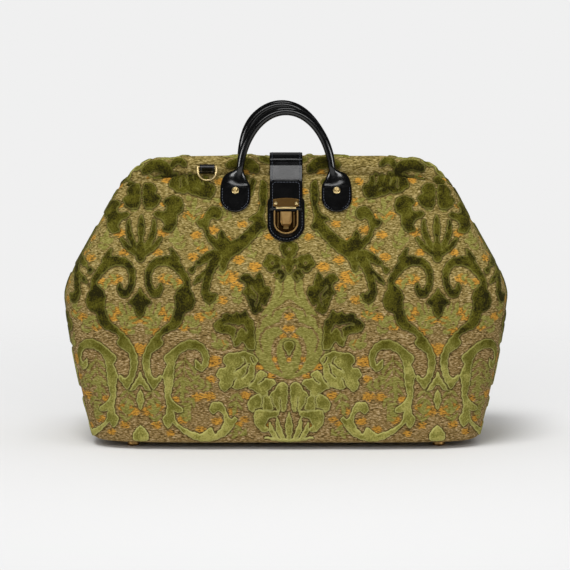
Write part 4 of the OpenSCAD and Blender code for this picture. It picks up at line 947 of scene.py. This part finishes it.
# the neck and shoulders: down the slope, along the bag, half width, half thickness, squareness, height of the middle
NECK = ((0, 55.2, 5.2, 4.5, 2.0, 11.0), (2, 55.8, 7.2, 4.3, 1.9, 9.4), (4.5, 56.8, 10.4, 4.0, 1.7, 7.6),
        (7.5, 58.1, 14.2, 3.5, 1.6, 5.7), (11, 59.2, 16.5, 2.9, 1.7, 4.1), (15, 59.8, 17.4, 2.3, 2.3, 3.0),
        (20, TAB_X, 17.9, 1.8, 4.0, 2.35), (25, TAB_X, TAB_HALF_W, TAB_T / 2, TAB_SQUARE, TAB_MID),
        (TAB_ROUND_S - 3, TAB_X, TAB_HALF_W, TAB_T / 2, TAB_SQUARE, TAB_MID))
for s, x, half_w, half_t, power, lift in NECK:
    stations.append(tuple(on_slope((x, 0, lift), s=s)) + (half_w, half_t, power))
for u in np.radians(np.linspace(0, 88, 14)):
    s = TAB_ROUND_S + (TAB_END_S - TAB_ROUND_S) * math.sin(u)
    half_t = TAB_T / 2 - 0.75 * (u > 1.45)
    stations.append(tuple(on_slope((TAB_X, 0, TAB_MID), s=s)) + (TAB_HALF_W * math.cos(u), half_t, TAB_SQUARE))
half = np.array(stations)
neck = half[arch_count:]
way = np.concatenate([[0], np.cumsum(np.linalg.norm(np.diff(neck[:, :3], axis=0), axis=1))])
fine = np.concatenate([np.linspace(0, way[len(NECK)], NECK_STEPS), way[len(NECK) + 1:]])
neck = np.stack([np.interp(fine, way, neck[:, k]) for k in range(6)], 1)
for _ in range(NECK_SMOOTHED):
    neck[1:NECK_STEPS] = (neck[:NECK_STEPS - 1] + 2 * neck[1:NECK_STEPS] + neck[2:NECK_STEPS + 1]) / 4
half = np.concatenate([half[:arch_count], neck])
whole = np.concatenate([half[:0:-1] * [-1, 1, 1, 1, 1, 1], half])
along = np.gradient(whole[:, :3], axis=0)
along /= np.linalg.norm(along, axis=1, keepdims=True)
slope_out = np.array([0, -SLOPE_COS, SLOPE_SIN])
lean = eased((LEAN_FROM - whole[:, 2]) / LEAN_OVER)[:, None]
out = np.array([0, -1, 0]) * (1 - lean) + slope_out * lean
out -= along * np.sum(out * along, axis=1, keepdims=True)
out /= np.linalg.norm(out, axis=1, keepdims=True)
handle_body = loft(whole[:, :3], np.cross(along, out), out, whole[:, 3], whole[:, 4], whole[:, 5], around=28)


def slope_stitches(line):
    """A row of stitches along a line that lies on the slope."""
    return stitch_row(line, np.repeat(slope_out[None], len(line), 0))


# stitches run round each tab, in from its edge
edge_s = np.linspace(TAB_HEM_TOP, TAB_ROUND_S, 12)
edge_w = np.interp(edge_s, [n[0] for n in NECK], [n[2] for n in NECK]) - TAB_HEM
bow, bow_r = np.radians(np.linspace(0, 180, 25)), TAB_HALF_W - TAB_HEM
hem = np.concatenate([np.stack([edge_w, -edge_s], 1),
                      np.stack([bow_r * np.cos(bow), -TAB_ROUND_S - bow_r * np.sin(bow)], 1)[1:-1],
                      np.stack([-edge_w, -edge_s], 1)[::-1]])
hem = np.concatenate([hem, np.full((len(hem), 1), TAB_HEM_OUT)], 1)
tab_stitches = joined(*[slope_stitches(on_slope(hem, x=x)) for x in (-TAB_X, TAB_X)])
for side, jaw in (("front", "front_jaw"), ("rear", "rear_jaw")):
    back = turned_back if side == "rear" else np.asarray
    body = back(handle_body[0]).copy()
    if side == "rear":
        body += eased((body[:, 2:3] - REAR_LEAN_FROM) / REAR_LEAN_OVER) * np.array(REAR_LEAN)
    handle = make_piece(side + "_rolled_handle", body, handle_body[1], leather)
    sewing = make_piece(side + "_tab_stitches", back(tab_stitches[0]), tab_stitches[1], thread)
    for piece in (handle, sewing):
        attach(piece, jaw)
    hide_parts(side + "_handle")

# ---------------------------------------------------------------------------------------------------------------
# Handle rivets: hollow tubular rivets, turned from pale brass, domed with a dished eye. One goes through each tab and
# the slope's cloth and lining behind it.
RIVET_S = 23
RIVET = [(3.9, 0), (4.4, 0.15), (4.6, 0.5), (4.3, 1.05), (3.7, 1.45), (3.0, 1.6), (2.4, 1.5), (2.0, 1.1), (1.8, 0.6),
         (1.2, 0.4), (0.2, 0.35)]
# Pale brass: polished and clear of patina, so it is bright and light gold, with a little tarnish in spots
TARNISH = 4.0
pale, tree, shader = new_material("pale_brass")
place = add(tree, "ShaderNodeTexCoord").outputs["Object"]
tarnish = add(tree, "ShaderNodeTexNoise", {"Vector": place, "Scale": 1 / (TARNISH * MM),
                                           "Detail": 3.0}).outputs["Fac"]
colour = add(tree, "ShaderNodeMix", {"Factor": tarnish, 6: linear("#D8B872"), 7: linear("#F2E0AE")}, data_type="RGBA")
polish = add(tree, "ShaderNodeMapRange", {"Value": tarnish, "From Min": 0.3, "From Max": 0.7, "To Min": 0.28,
                                          "To Max": 0.40})
tree.links.new(colour.outputs[2], shader.inputs["Base Color"])
tree.links.new(polish.outputs[0], shader.inputs["Roughness"])
shader.inputs["Metallic"].default_value = 1.0


def turned(profile, around=40):
    """A turned body from radius and height pairs, closed at both ends."""
    turn = np.arange(around) / around * math.tau
    points = np.array([[(r * math.cos(a), r * math.sin(a), h) for a in turn] for r, h in profile])
    faces = grid_faces(len(profile), around, closed=True)
    faces += [tuple(range(around))[::-1], tuple((len(profile) - 1) * around + k for k in range(around))]
    return points, faces


heads = []
for x in (-TAB_X, TAB_X):
    points, faces = turned(RIVET)
    heads.append((on_slope(points, x=x, s=RIVET_S).reshape(-1, 3) + slope_out * (TAB_LIFT + TAB_T), faces))
rivets = joined(*heads)
for side, jaw in (("front", "front_jaw"), ("rear", "rear_jaw")):
    back = turned_back if side == "rear" else np.asarray
    piece = make_piece(side + "_tab_rivets", back(rivets[0]), rivets[1], pale)
    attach(piece, jaw)
    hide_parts(side + "_handle_rivets")

# ---------------------------------------------------------------------------------------------------------------
# Closing strap: one length of bridle leather, stitched along both edges. It is sewn to the back slope, goes over
# both rolls, leaves the front one in a straight run and lies on the lock's patch.
STRAP_HALF_W, STRAP_T, STRAP_TAIL, STRAP_TAIL_TOP, STRAP_SEAT, FLAP_S = 19.5, 2.5, 56, 10, 0.5, 49
STRAP_R, STRAP_SQUARE, STRAP_HEM, STITCH_OUT = 10.5 + STRAP_T / 2, 9.0, 3.0, 0.08
PATCH_T, FLAP_GAP = 2.0, 0.8
LANDS_S, LANDS_LIFT, LANDS_SOFT, LEAVES_S, LEAVES_A = 14, 0.29, 6, -7.5, 166
FOLD_A, FOLD_REACH, COVERED_Z = math.radians(128), 7, 309


def flap_height(s):
    """How far the flap's underside stands off the slope: it comes down from the roll on to the lock's patch."""
    lift = LANDS_LIFT * (LANDS_S - s + np.sqrt((LANDS_S - s) ** 2 + LANDS_SOFT)) / 2
    return PATCH_T + FLAP_GAP + lift


def strap_line(height):
    """The strap's run from the back slope to its front end as y, z and outward direction, height over its middle."""
    run, r = [], STRAP_R + height
    for s in np.linspace(STRAP_TAIL, STRAP_TAIL_TOP, 16):
        y, z = on_slope((0, 0, STRAP_SEAT + STRAP_T / 2 + height), s=s)[1:]
        run.append((-y, z, SLOPE_COS, SLOPE_SIN))
    for a in np.radians(np.linspace(4, 90, 14)):
        run.append((ROLL_Y + r * math.cos(a), ROLL_Z + r * math.sin(a), math.cos(a), math.sin(a)))
    for y in np.linspace(ROLL_Y, -ROLL_Y, 6)[1:-1]:
        run.append((y, ROLL_Z + r, 0, 1))
    for a in np.radians(np.linspace(90, LEAVES_A, 26)):
        run.append((-ROLL_Y + r * math.cos(a), ROLL_Z + r * math.sin(a), math.cos(a), math.sin(a)))
    for s in np.linspace(LEAVES_S, FLAP_S, 34):
        y, z = on_slope((0, 0, flap_height(s) + STRAP_T / 2 + height), s=s)[1:]
        run.append((y, z, -SLOPE_COS, SLOPE_SIN))
    return np.array(run)


run = strap_line(0)
centres = np.stack([0 * run[:, 0], run[:, 0], run[:, 1]], 1)
out = np.stack([0 * run[:, 0], run[:, 2], run[:, 3]], 1)
for _ in range(2):
    out[1:-1] = out[:-2] + 2 * out[1:-1] + out[2:]
    out /= np.linalg.norm(out, axis=1, keepdims=True)


def leather_layer(middles, out, half_w, thick, square, around=36):
    """A flat layer of leather, from the middles, outward directions and half widths of its rows."""
    count = len(middles)
    points, faces = loft(middles, np.repeat([[1.0, 0, 0]], count, 0), out, half_w, np.full(count, thick / 2),
                         np.full(count, square), around=around)
    return points, [f[::-1] for f in faces]


strap_body = leather_layer(centres, out, np.full(len(run), STRAP_HALF_W), STRAP_T, STRAP_SQUARE, around=32)
top_run = strap_line(STRAP_T / 2 + STITCH_OUT)
# the strap end covers the lowest part of the front
shown = [k for k in range(len(run)) if not (top_run[k, 0] < 0 and top_run[k, 1] < COVERED_Z)]
rows = []
for x in (-STRAP_HALF_W + STRAP_HEM, STRAP_HALF_W - STRAP_HEM):
    line = np.stack([np.full(len(shown), x), top_run[shown, 0], top_run[shown, 1]], 1)
    rows.append(stitch_row(line, out[shown]))
sewing = joined(*rows)
strap = make_piece("closing_strap", *joined(strap_body, sewing), leather)
strap.data.materials.append(thread)
for polygon in strap.data.polygons[len(strap_body[1]):]:
    polygon.material_index = 1
fold = np.array([-ROLL_Y + STRAP_R * math.cos(FOLD_A), ROLL_Z + STRAP_R * math.sin(FOLD_A)])
ahead = np.array([-math.sin(FOLD_A), math.cos(FOLD_A)])
start, end = fold - FOLD_REACH * ahead, fold + FOLD_REACH * ahead
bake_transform(strap)
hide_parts("strap", "strap_flap")

# ---------------------------------------------------------------------------------------------------------------
# Strap end: a second layer of the same leather with rounded top corners, sewn on the front end of the strap. It
# stiffens the strap under the lock's tongue plate.
END_HALF_W, END_T, END_S, END_ROUND, END_SQUARE, END_HEM, END_HEM_R = 19, 2.0, 11, 6, 10.0, 3, 4
end_s = np.concatenate([END_S + END_ROUND * (1 - np.cos(np.radians(np.linspace(8, 90, 9)))),
                        np.linspace(END_S + END_ROUND, FLAP_S, 22)[1:]])
end_w = END_HALF_W - END_ROUND + END_ROUND * np.sqrt(1 - np.clip((END_S + END_ROUND - end_s) / END_ROUND, 0, 1) ** 2)
end_mid = np.array([on_slope((0, 0, flap_height(s) + STRAP_T + END_T / 2), s=s) for s in end_s])
end_body = leather_layer(end_mid, np.repeat(slope_out[None], len(end_s), 0), end_w, END_T, END_SQUARE)
corner = END_HEM + END_HEM_R
border = [(-END_HALF_W + END_HEM, FLAP_S - 2), (-END_HALF_W + END_HEM, END_S + corner)]
border += [(-END_HALF_W + corner - END_HEM_R * math.cos(a), END_S + corner - END_HEM_R * math.sin(a))
           for a in np.radians(np.linspace(0, 90, 8))[1:]]
border += [(-x, s) for x, s in border[::-1]]
dense = []
for (x0, s0), (x1, s1) in zip(border[:-1], border[1:]):
    for u in np.linspace(0, 1, 12)[:-1]:
        s = s0 + (s1 - s0) * u
        dense.append(on_slope((x0 + (x1 - x0) * u, 0, flap_height(s) + STRAP_T + END_T + STITCH_OUT), s=s))
end_sewing = slope_stitches(dense)
for name, body, material in (("strap_end_layer", end_body, leather), ("strap_end_stitches", end_sewing, thread)):
    piece = make_piece(name, body[0], body[1], material)
    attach(piece, "strap_front")
    if material is leather:
        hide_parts("strap_end")

# ---------------------------------------------------------------------------------------------------------------
# Tongue plate: stamped antique brass, riveted to the end of the strap by two small rivets. The bright barrel on its
# lower edge is the tongue that tucks into the lock.
TONGUE_LIFT, TONGUE_HALF_W, TONGUE_T, TONGUE_TOP, TONGUE_ARCH, TONGUE_EDGE = 7.3, 15.4, 1.5, 12.4, 2.0, 0.4
BARREL_R, BARREL_HALF_W, BARREL_EDGE = 1.4, 12, 0.4
SMALL_X, SMALL_UP = 12.2, 7.4
SMALL_RIVET = [(2.0, 0), (2.15, 0.25), (1.9, 0.65), (1.3, 0.95), (0.6, 1.08), (0.1, 1.1)]


def slab(outline, low, high, bevel, cap=0.0):
    """A plate with the given outline from low to high, its edges rounded; cap dishes the upper face in."""
    mesh = bmesh.new()
    face = mesh.faces.new([mesh.verts.new((x, y, low)) for x, y in outline])
    face.normal_update()
    if face.normal.z > 0:
        face.normal_flip()
    raised = bmesh.ops.extrude_face_region(mesh, geom=[face])
    top = [v for v in raised["geom"] if isinstance(v, bmesh.types.BMVert)]
    for v in top:
        v.co.z = high
    if cap:
        upper = [f for f in raised["geom"] if isinstance(f, bmesh.types.BMFace)]
        bmesh.ops.inset_individual(mesh, faces=upper, thickness=cap, depth=-cap * 0.4)
    bmesh.ops.recalc_face_normals(mesh, faces=mesh.faces)
    sharp = [e for e in mesh.edges if len(e.link_faces) == 2 and e.calc_face_angle() > 0.6]
    bmesh.ops.bevel(mesh, geom=sharp, offset=bevel, segments=3, profile=0.5, affect="EDGES", clamp_overlap=True)
    mesh.verts.index_update()
    body = np.array([v.co[:] for v in mesh.verts]), [tuple(v.index for v in f.verts) for f in mesh.faces]
    mesh.free()
    return body


arch = np.linspace(-1, 1, 13)
plate = [(TONGUE_HALF_W - 4, 1.2), (TONGUE_HALF_W - 3.4, 3.2), (TONGUE_HALF_W, 4.2)]
plate += [(-TONGUE_HALF_W * u, TONGUE_TOP + TONGUE_ARCH * (1 - u * u)) for u in arch]
plate += [(-x, y) for x, y in plate[2::-1]]
plate_body = slab(plate, 0, TONGUE_T, TONGUE_EDGE)
barrel = turned([(BARREL_R - BARREL_EDGE, -BARREL_HALF_W), (BARREL_R, -BARREL_HALF_W + BARREL_EDGE),
                 (BARREL_R, BARREL_HALF_W - BARREL_EDGE), (BARREL_R - BARREL_EDGE, BARREL_HALF_W)], around=20)
barrel_points = barrel[0].reshape(-1, 3)[:, [2, 0, 1]] + [0, BARREL_R, BARREL_R]
small_points, small_faces = turned(SMALL_RIVET, 24)
small_heads = joined(*[(small_points.reshape(-1, 3) + [x, SMALL_UP, TONGUE_T], small_faces)
                       for x in (-SMALL_X, SMALL_X)])
for name, body, material, node in (("lock_tongue_plate", plate_body, antique, "tongue_plate"),
                                   ("lock_tongue_barrel", (barrel_points, barrel[1]), pale, None),
                                   ("lock_tongue_rivets", small_heads, pale, "tongue_rivets")):
    piece = make_piece(name, on_slope(body[0] + [0, 0, TONGUE_LIFT], s=FLAP_S), body[1], material,
                       smooth=body is not plate_body)
    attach(piece, "strap_front")
    if node:
        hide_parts(node)

# ---------------------------------------------------------------------------------------------------------------
# Lock patch: a tongue of bridle leather with a round lower end, stitched to the slope along its edge. The lock is set
# on it, and the strap comes down over its top.
PATCH_HALF_W, PATCH_TOP_S, PATCH_ROUND_S, PATCH_CORNER = 22, 29, 66, 9
PATCH_SEAT, PATCH_SQUARE, PATCH_HEM, PATCH_HEM_OUT = 0.5, 9.0, 3, 0.05
patch_s = np.concatenate([PATCH_TOP_S + PATCH_CORNER * (1 - np.cos(np.radians(np.linspace(8, 90, 9)))),
                          np.linspace(PATCH_TOP_S + PATCH_CORNER, PATCH_ROUND_S, 12)[1:],
                          PATCH_ROUND_S + PATCH_HALF_W * np.sin(np.radians(np.linspace(0, 88, 16)))[1:]])
patch_w = PATCH_HALF_W * np.sqrt(1 - np.clip((patch_s - PATCH_ROUND_S) / PATCH_HALF_W, 0, 1) ** 2)
in_corner = np.clip((PATCH_TOP_S + PATCH_CORNER - patch_s) / PATCH_CORNER, 0, 1)
patch_w -= PATCH_CORNER * (1 - np.sqrt(1 - in_corner ** 2))
patch_mid = np.array([on_slope((0, 0, PATCH_SEAT + PATCH_T / 2), s=s) for s in patch_s])
patch_body = leather_layer(patch_mid, np.repeat(slope_out[None], len(patch_s), 0), patch_w, PATCH_T, PATCH_SQUARE)
inset = PATCH_HALF_W - PATCH_HEM
hem = [(inset, s) for s in np.linspace(FLAP_S + 1, PATCH_ROUND_S, 14)]
hem += [(inset * math.cos(a), PATCH_ROUND_S + inset * math.sin(a)) for a in np.radians(np.linspace(0, 180, 31))[1:-1]]
hem += [(-inset, s) for s in np.linspace(PATCH_ROUND_S, FLAP_S + 1, 14)]
hem = np.array([on_slope((x, 0, PATCH_SEAT + PATCH_T + PATCH_HEM_OUT), s=s) for x, s in hem])
patch_sewing = slope_stitches(hem)
for name, body, material in (("lock_leather_patch", patch_body, leather),
                             ("lock_patch_stitches", patch_sewing, thread)):
    piece = make_piece(name, body[0], body[1], material)
    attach(piece, "front_jaw")
    if material is leather:
        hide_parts("lock_patch")

# ---------------------------------------------------------------------------------------------------------------
# Lock body: a shallow U-shaped case of antique brass with a raised rim, worn bright on its edges with a painted
# highlight, and painted shade in its floor. Its prongs go through the patch to a back plate inside.
LOCK_S, LOCK_LIFT, LOCK_HALF_W, LOCK_L, LOCK_FLOOR, LOCK_H, LOCK_RIM = 50.2, 2.5, 14.5, 30, 1.8, 6, 1.8
GUIDE_X, GUIDE_HALF_W, GUIDE_TOP, GUIDE_END, GUIDE_H = 9.4, 0.7, -1.5, -21, 2.2
# how deep the rubbed rim with its painted highlight and the painted shade in the floor reach
RUB_AND_HIGHLIGHT_DEPTH, PAINTED_SHADE_DEPTH = 1.1, 0.4


def u_outline(half_w, top, bottom, segments=28):
    """A U: straight sides from the top down and a half circle below."""
    mid = bottom + half_w
    bow = np.radians(np.linspace(0, -180, segments))
    return [(half_w, top)] + [(half_w * math.cos(a), mid + half_w * math.sin(a)) for a in bow] + [(-half_w, top)]


outer = u_outline(LOCK_HALF_W, 0, -LOCK_L)
inner = u_outline(LOCK_HALF_W - LOCK_RIM, 0, -LOCK_L + LOCK_RIM)
lock_floor = slab(outer, 0, LOCK_FLOOR, 0.3)
lock_rim = slab(outer + inner[::-1], 0.4, LOCK_H - 0.6, 0.5)
guides = [slab([(x - GUIDE_HALF_W, GUIDE_TOP), (x - GUIDE_HALF_W, GUIDE_END), (x + GUIDE_HALF_W, GUIDE_END),
                (x + GUIDE_HALF_W, GUIDE_TOP)], LOCK_FLOOR - 0.4, LOCK_FLOOR + GUIDE_H, 0.3)
          for x in (-GUIDE_X, GUIDE_X)]
case = joined(lock_floor, lock_rim, *guides)


def stands_out(face):
    """How far a face's middle stands out of the slope, in millimetres."""
    return (np.array(face.center) / MM - on_slope((0, 0, 0))) @ slope_out


def rub_and_highlight_edges(piece, height):
    """Rubbed brass with a painted highlight on the faces of a piece that stand farther out of the slope than a
    height.
    """
    piece.data.materials.append(rubbed_and_highlit)
    for face in piece.data.polygons:
        face.material_index = int(stands_out(face) > height)


piece = make_piece("lock_case", on_slope(case[0] + [0, 0, LOCK_LIFT], s=LOCK_S), case[1], antique, smooth=False)
rub_and_highlight_edges(piece, LOCK_LIFT + LOCK_H - RUB_AND_HIGHLIGHT_DEPTH)
# painted shade: the lowest faces of the lock's floor are near black
piece.data.materials.append(painted_shade_brass)
for face in piece.data.polygons:
    if stands_out(face) < LOCK_LIFT + LOCK_FLOOR + PAINTED_SHADE_DEPTH:
        face.material_index = 2
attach(piece, "front_jaw")
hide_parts("lock_body")

# ---------------------------------------------------------------------------------------------------------------
# Thumb catch: the sprung slide in the middle of the lock, a cast brass tab with a dished face and a sloped lower end.
# It runs between the case's guides and is rubbed bright, with a painted highlight, where the thumb presses it down.
CATCH_S, CATCH_LIFT, CATCH_HALF_W, CATCH_L, CATCH_H, CATCH_RUB_AND_HIGHLIGHT = 52, 5.2, 6.75, 17, 3.6, 0.45
CATCH_TAPER, CATCH_DISH, CATCH_SLOPE, CATCH_SLOPE_L = -12.5, 1.5, 0.6, 5
tab = [(CATCH_HALF_W, 0), (CATCH_HALF_W, CATCH_TAPER), (CATCH_HALF_W - 1.6, -CATCH_L + 0.6),
       (CATCH_HALF_W - 2.4, -CATCH_L)]
tab += [(-x, y) for x, y in tab[::-1]]
thumb = slab(tab, 0, CATCH_H, 0.35, cap=CATCH_DISH)
thumb[0][:, 2] *= 1 - CATCH_SLOPE * np.clip((CATCH_SLOPE_L - CATCH_L - thumb[0][:, 1]) / CATCH_SLOPE_L, 0, 1)
points = on_slope(thumb[0] + [0, 0, CATCH_LIFT], s=CATCH_S)
piece = make_piece("lock_thumb_catch", points, thumb[1], antique, smooth=False)
rub_and_highlight_edges(piece, CATCH_LIFT + CATCH_H - CATCH_RUB_AND_HIGHLIGHT)
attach(piece, "catch")
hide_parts("lock_catch")

# ---------------------------------------------------------------------------------------------------------------
# Rings and loops: each D-ring is bent from pale brass wire, and its solid is kept. A short band of leather is folded
# round its bar, stitched along both edges and sewn into the seam under the roll.
RING_X, RING_Y, RING_Z, LOOP_R, LOOP_HALF_W, LOOP_EDGE, LOOP_HEM = -93.6, 23.85, 327.5, 2.95, 9, 0.45, 2
LOOP_ROOT, LOOP_FOOT = [(-18.2, 318.9), (-20.9, 318.7)], (-21.2, 319.2)
bend = np.radians(np.linspace(200, -20, 19))
band = LOOP_ROOT + [(-RING_Y + LOOP_R * math.cos(a), RING_Z + LOOP_R * math.sin(a)) for a in bend]
band_body = slab(band, -LOOP_HALF_W, LOOP_HALF_W, LOOP_EDGE)
band_points = band_body[0][:, [2, 0, 1]] + [RING_X, 0, 0]
loop_front = np.array([(-RING_Y - LOOP_R - 0.05, RING_Z - 0.5), LOOP_FOOT])
loop_out = np.array([0, -0.94, -0.34])
rows = []
for x in (RING_X - LOOP_HALF_W + LOOP_HEM, RING_X + LOOP_HALF_W - LOOP_HEM):
    line = np.array([(x,) + tuple(loop_front[0] + (loop_front[1] - loop_front[0]) * u) for u in np.linspace(0, 1, 6)])
    rows.append(stitch_row(line, np.repeat(loop_out[None], 6, 0), length=2.0, pitch=2.8))
loop_sewing = joined(*rows)
for side, jaw in (("front", "front_jaw"), ("rear", "rear_jaw")):
    back = turned_back if side == "rear" else np.asarray
    loop = make_piece(side + "_leather_loop", back(band_points), band_body[1], leather, smooth=False)
    sewing = make_piece(side + "_loop_stitches", back(loop_sewing[0]), loop_sewing[1], thread)
    for piece in (loop, sewing):
        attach(piece, jaw)
    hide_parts(side + "_ring_loop")
    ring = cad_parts[side + "_ring"]
    ring.data.materials.clear()
    ring.data.materials.append(pale)

# ---------------------------------------------------------------------------------------------------------------
# Stage: a plain pale floor that fades into the background, a soft sun from the front left, and softboxes in front and
# above. A dark canopy and two white cards at the sides show only in reflections. The camera stands as for a catalogue
# picture.
FLOOR_R, FLOOR_FADE, PAPER, FLOOR_PAPER = 1.2, 0.30, "#F0F0F0", "#E1E1E1"
paper, tree, shader = new_material("studio_paper")
place = add(tree, "ShaderNodeTexCoord").outputs["Object"]
from_middle = add(tree, "ShaderNodeVectorMath", {0: place}, operation="LENGTH").outputs["Value"]
fade = add(tree, "ShaderNodeMapRange", {"Value": from_middle, "From Min": FLOOR_FADE, "From Max": FLOOR_R * 0.95,
                                        "To Min": 1.0, "To Max": 0.0}, interpolation_type="SMOOTHSTEP").outputs[0]
shader.inputs["Base Color"].default_value = linear(FLOOR_PAPER)
shader.inputs["Roughness"].default_value = 0.9
shader.inputs["Specular IOR Level"].default_value = 0.0
clear = add(tree, "ShaderNodeBsdfTransparent")
faded = add(tree, "ShaderNodeMixShader", {0: fade, 1: clear.outputs[0], 2: shader.outputs[0]})
tree.links.new(faded.outputs[0], tree.nodes["Material Output"].inputs["Surface"])
turn = np.arange(96) / 96 * math.tau
points = [(FLOOR_R / MM * math.cos(a), FLOOR_R / MM * math.sin(a), 0) for a in turn]
floor = make_piece("studio_floor", points, [tuple(range(len(turn)))], paper, smooth=False)
floor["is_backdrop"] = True

felt, tree, shader = new_material("black_felt")
shader.inputs["Base Color"].default_value = linear("#5A5A5A")
shader.inputs["Roughness"].default_value = 1.0
shader.inputs["Specular IOR Level"].default_value = 0.0
CANOPY = [(3000, -900), (3000, 1600), (2300, 2900), (0.5, 3600)]
points = [[(r * math.cos(a), r * math.sin(a), z) for a in turn] for r, z in CANOPY]
faces = grid_faces(len(CANOPY), len(turn), closed=True)
canopy = make_piece("studio_canopy", np.array(points).reshape(-1, 3), faces, felt)
canopy.visible_camera = canopy.visible_diffuse = canopy.visible_shadow = False
canopy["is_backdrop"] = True

world = bpy.data.worlds.new("studio")
bpy.context.scene.world = world
world.use_nodes = True
tree = world.node_tree
tree.nodes.clear()
rays = add(tree, "ShaderNodeLightPath").outputs
seen = add(tree, "ShaderNodeMath", {0: rays["Is Camera Ray"], 1: rays["Is Glossy Ray"]}, operation="ADD").outputs[0]
seen = add(tree, "ShaderNodeMath", {0: seen, 1: rays["Is Transmission Ray"]}, operation="ADD",
           use_clamp=True).outputs[0]
lit = add(tree, "ShaderNodeBackground", {"Color": (1, 1, 1, 1), "Strength": 0.55})
shown = add(tree, "ShaderNodeBackground", {"Color": linear(PAPER), "Strength": 1.0})
mixed = add(tree, "ShaderNodeMixShader", {0: seen, 1: lit.outputs[0], 2: shown.outputs[0]})
add(tree, "ShaderNodeOutputWorld", {"Surface": mixed.outputs[0]})

# each light's energy, its size (the sun's is its angle), and where it stands
LIT_AT = Vector((0, -0.05, 0.25))
for name, kind, energy, size, where in (("sun", "SUN", 1.5, (0.45, 0.45), (-0.4, -0.9, 2.2)),
                                        ("strip_softbox", "AREA", 8.5, (1.3, 0.5), (0.0, -1.95, 0.92)),
                                        ("top_softbox", "AREA", 9.0, (1.2, 0.8), (0.0, -0.6, 2.6)),
                                        ("left_card", "AREA", 13.0, (0.9, 0.6), (-1.5, -1.3, 0.32)),
                                        ("right_card", "AREA", 13.0, (0.9, 0.6), (1.5, -1.3, 0.32))):
    light = bpy.data.lights.new(name, kind)
    light.energy = energy
    if kind == "SUN":
        light.angle = size[0]
    else:
        light.shape, light.size, light.size_y = "RECTANGLE", size[0], size[1]
    lamp = bpy.data.objects.new(name, light)
    bpy.context.scene.collection.objects.link(lamp)
    lamp.location = where
    lamp.visible_glossy = kind == "AREA"
    lamp.visible_diffuse = not name.endswith("card")
    lamp.rotation_euler = (LIT_AT - Vector(where)).to_track_quat("-Z", "Y").to_euler()

AIM, VIEW_FAR, LENS, SENSOR_W = Vector((-0.0012, -0.06, 0.191)), 4.6, 246, 36
camera = bpy.data.objects.new("camera", bpy.data.cameras.new("camera"))
bpy.context.scene.collection.objects.link(camera)
camera.location = AIM + VIEW_FAR * Vector((0, -math.cos(VIEW_TILT), math.sin(VIEW_TILT)))
camera.rotation_euler = (AIM - camera.location).to_track_quat("-Z", "Y").to_euler()
camera.data.lens, camera.data.sensor_width = LENS, SENSOR_W
bpy.context.scene.camera = camera
bpy.context.scene.view_settings.view_transform = "Standard"

low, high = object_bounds()
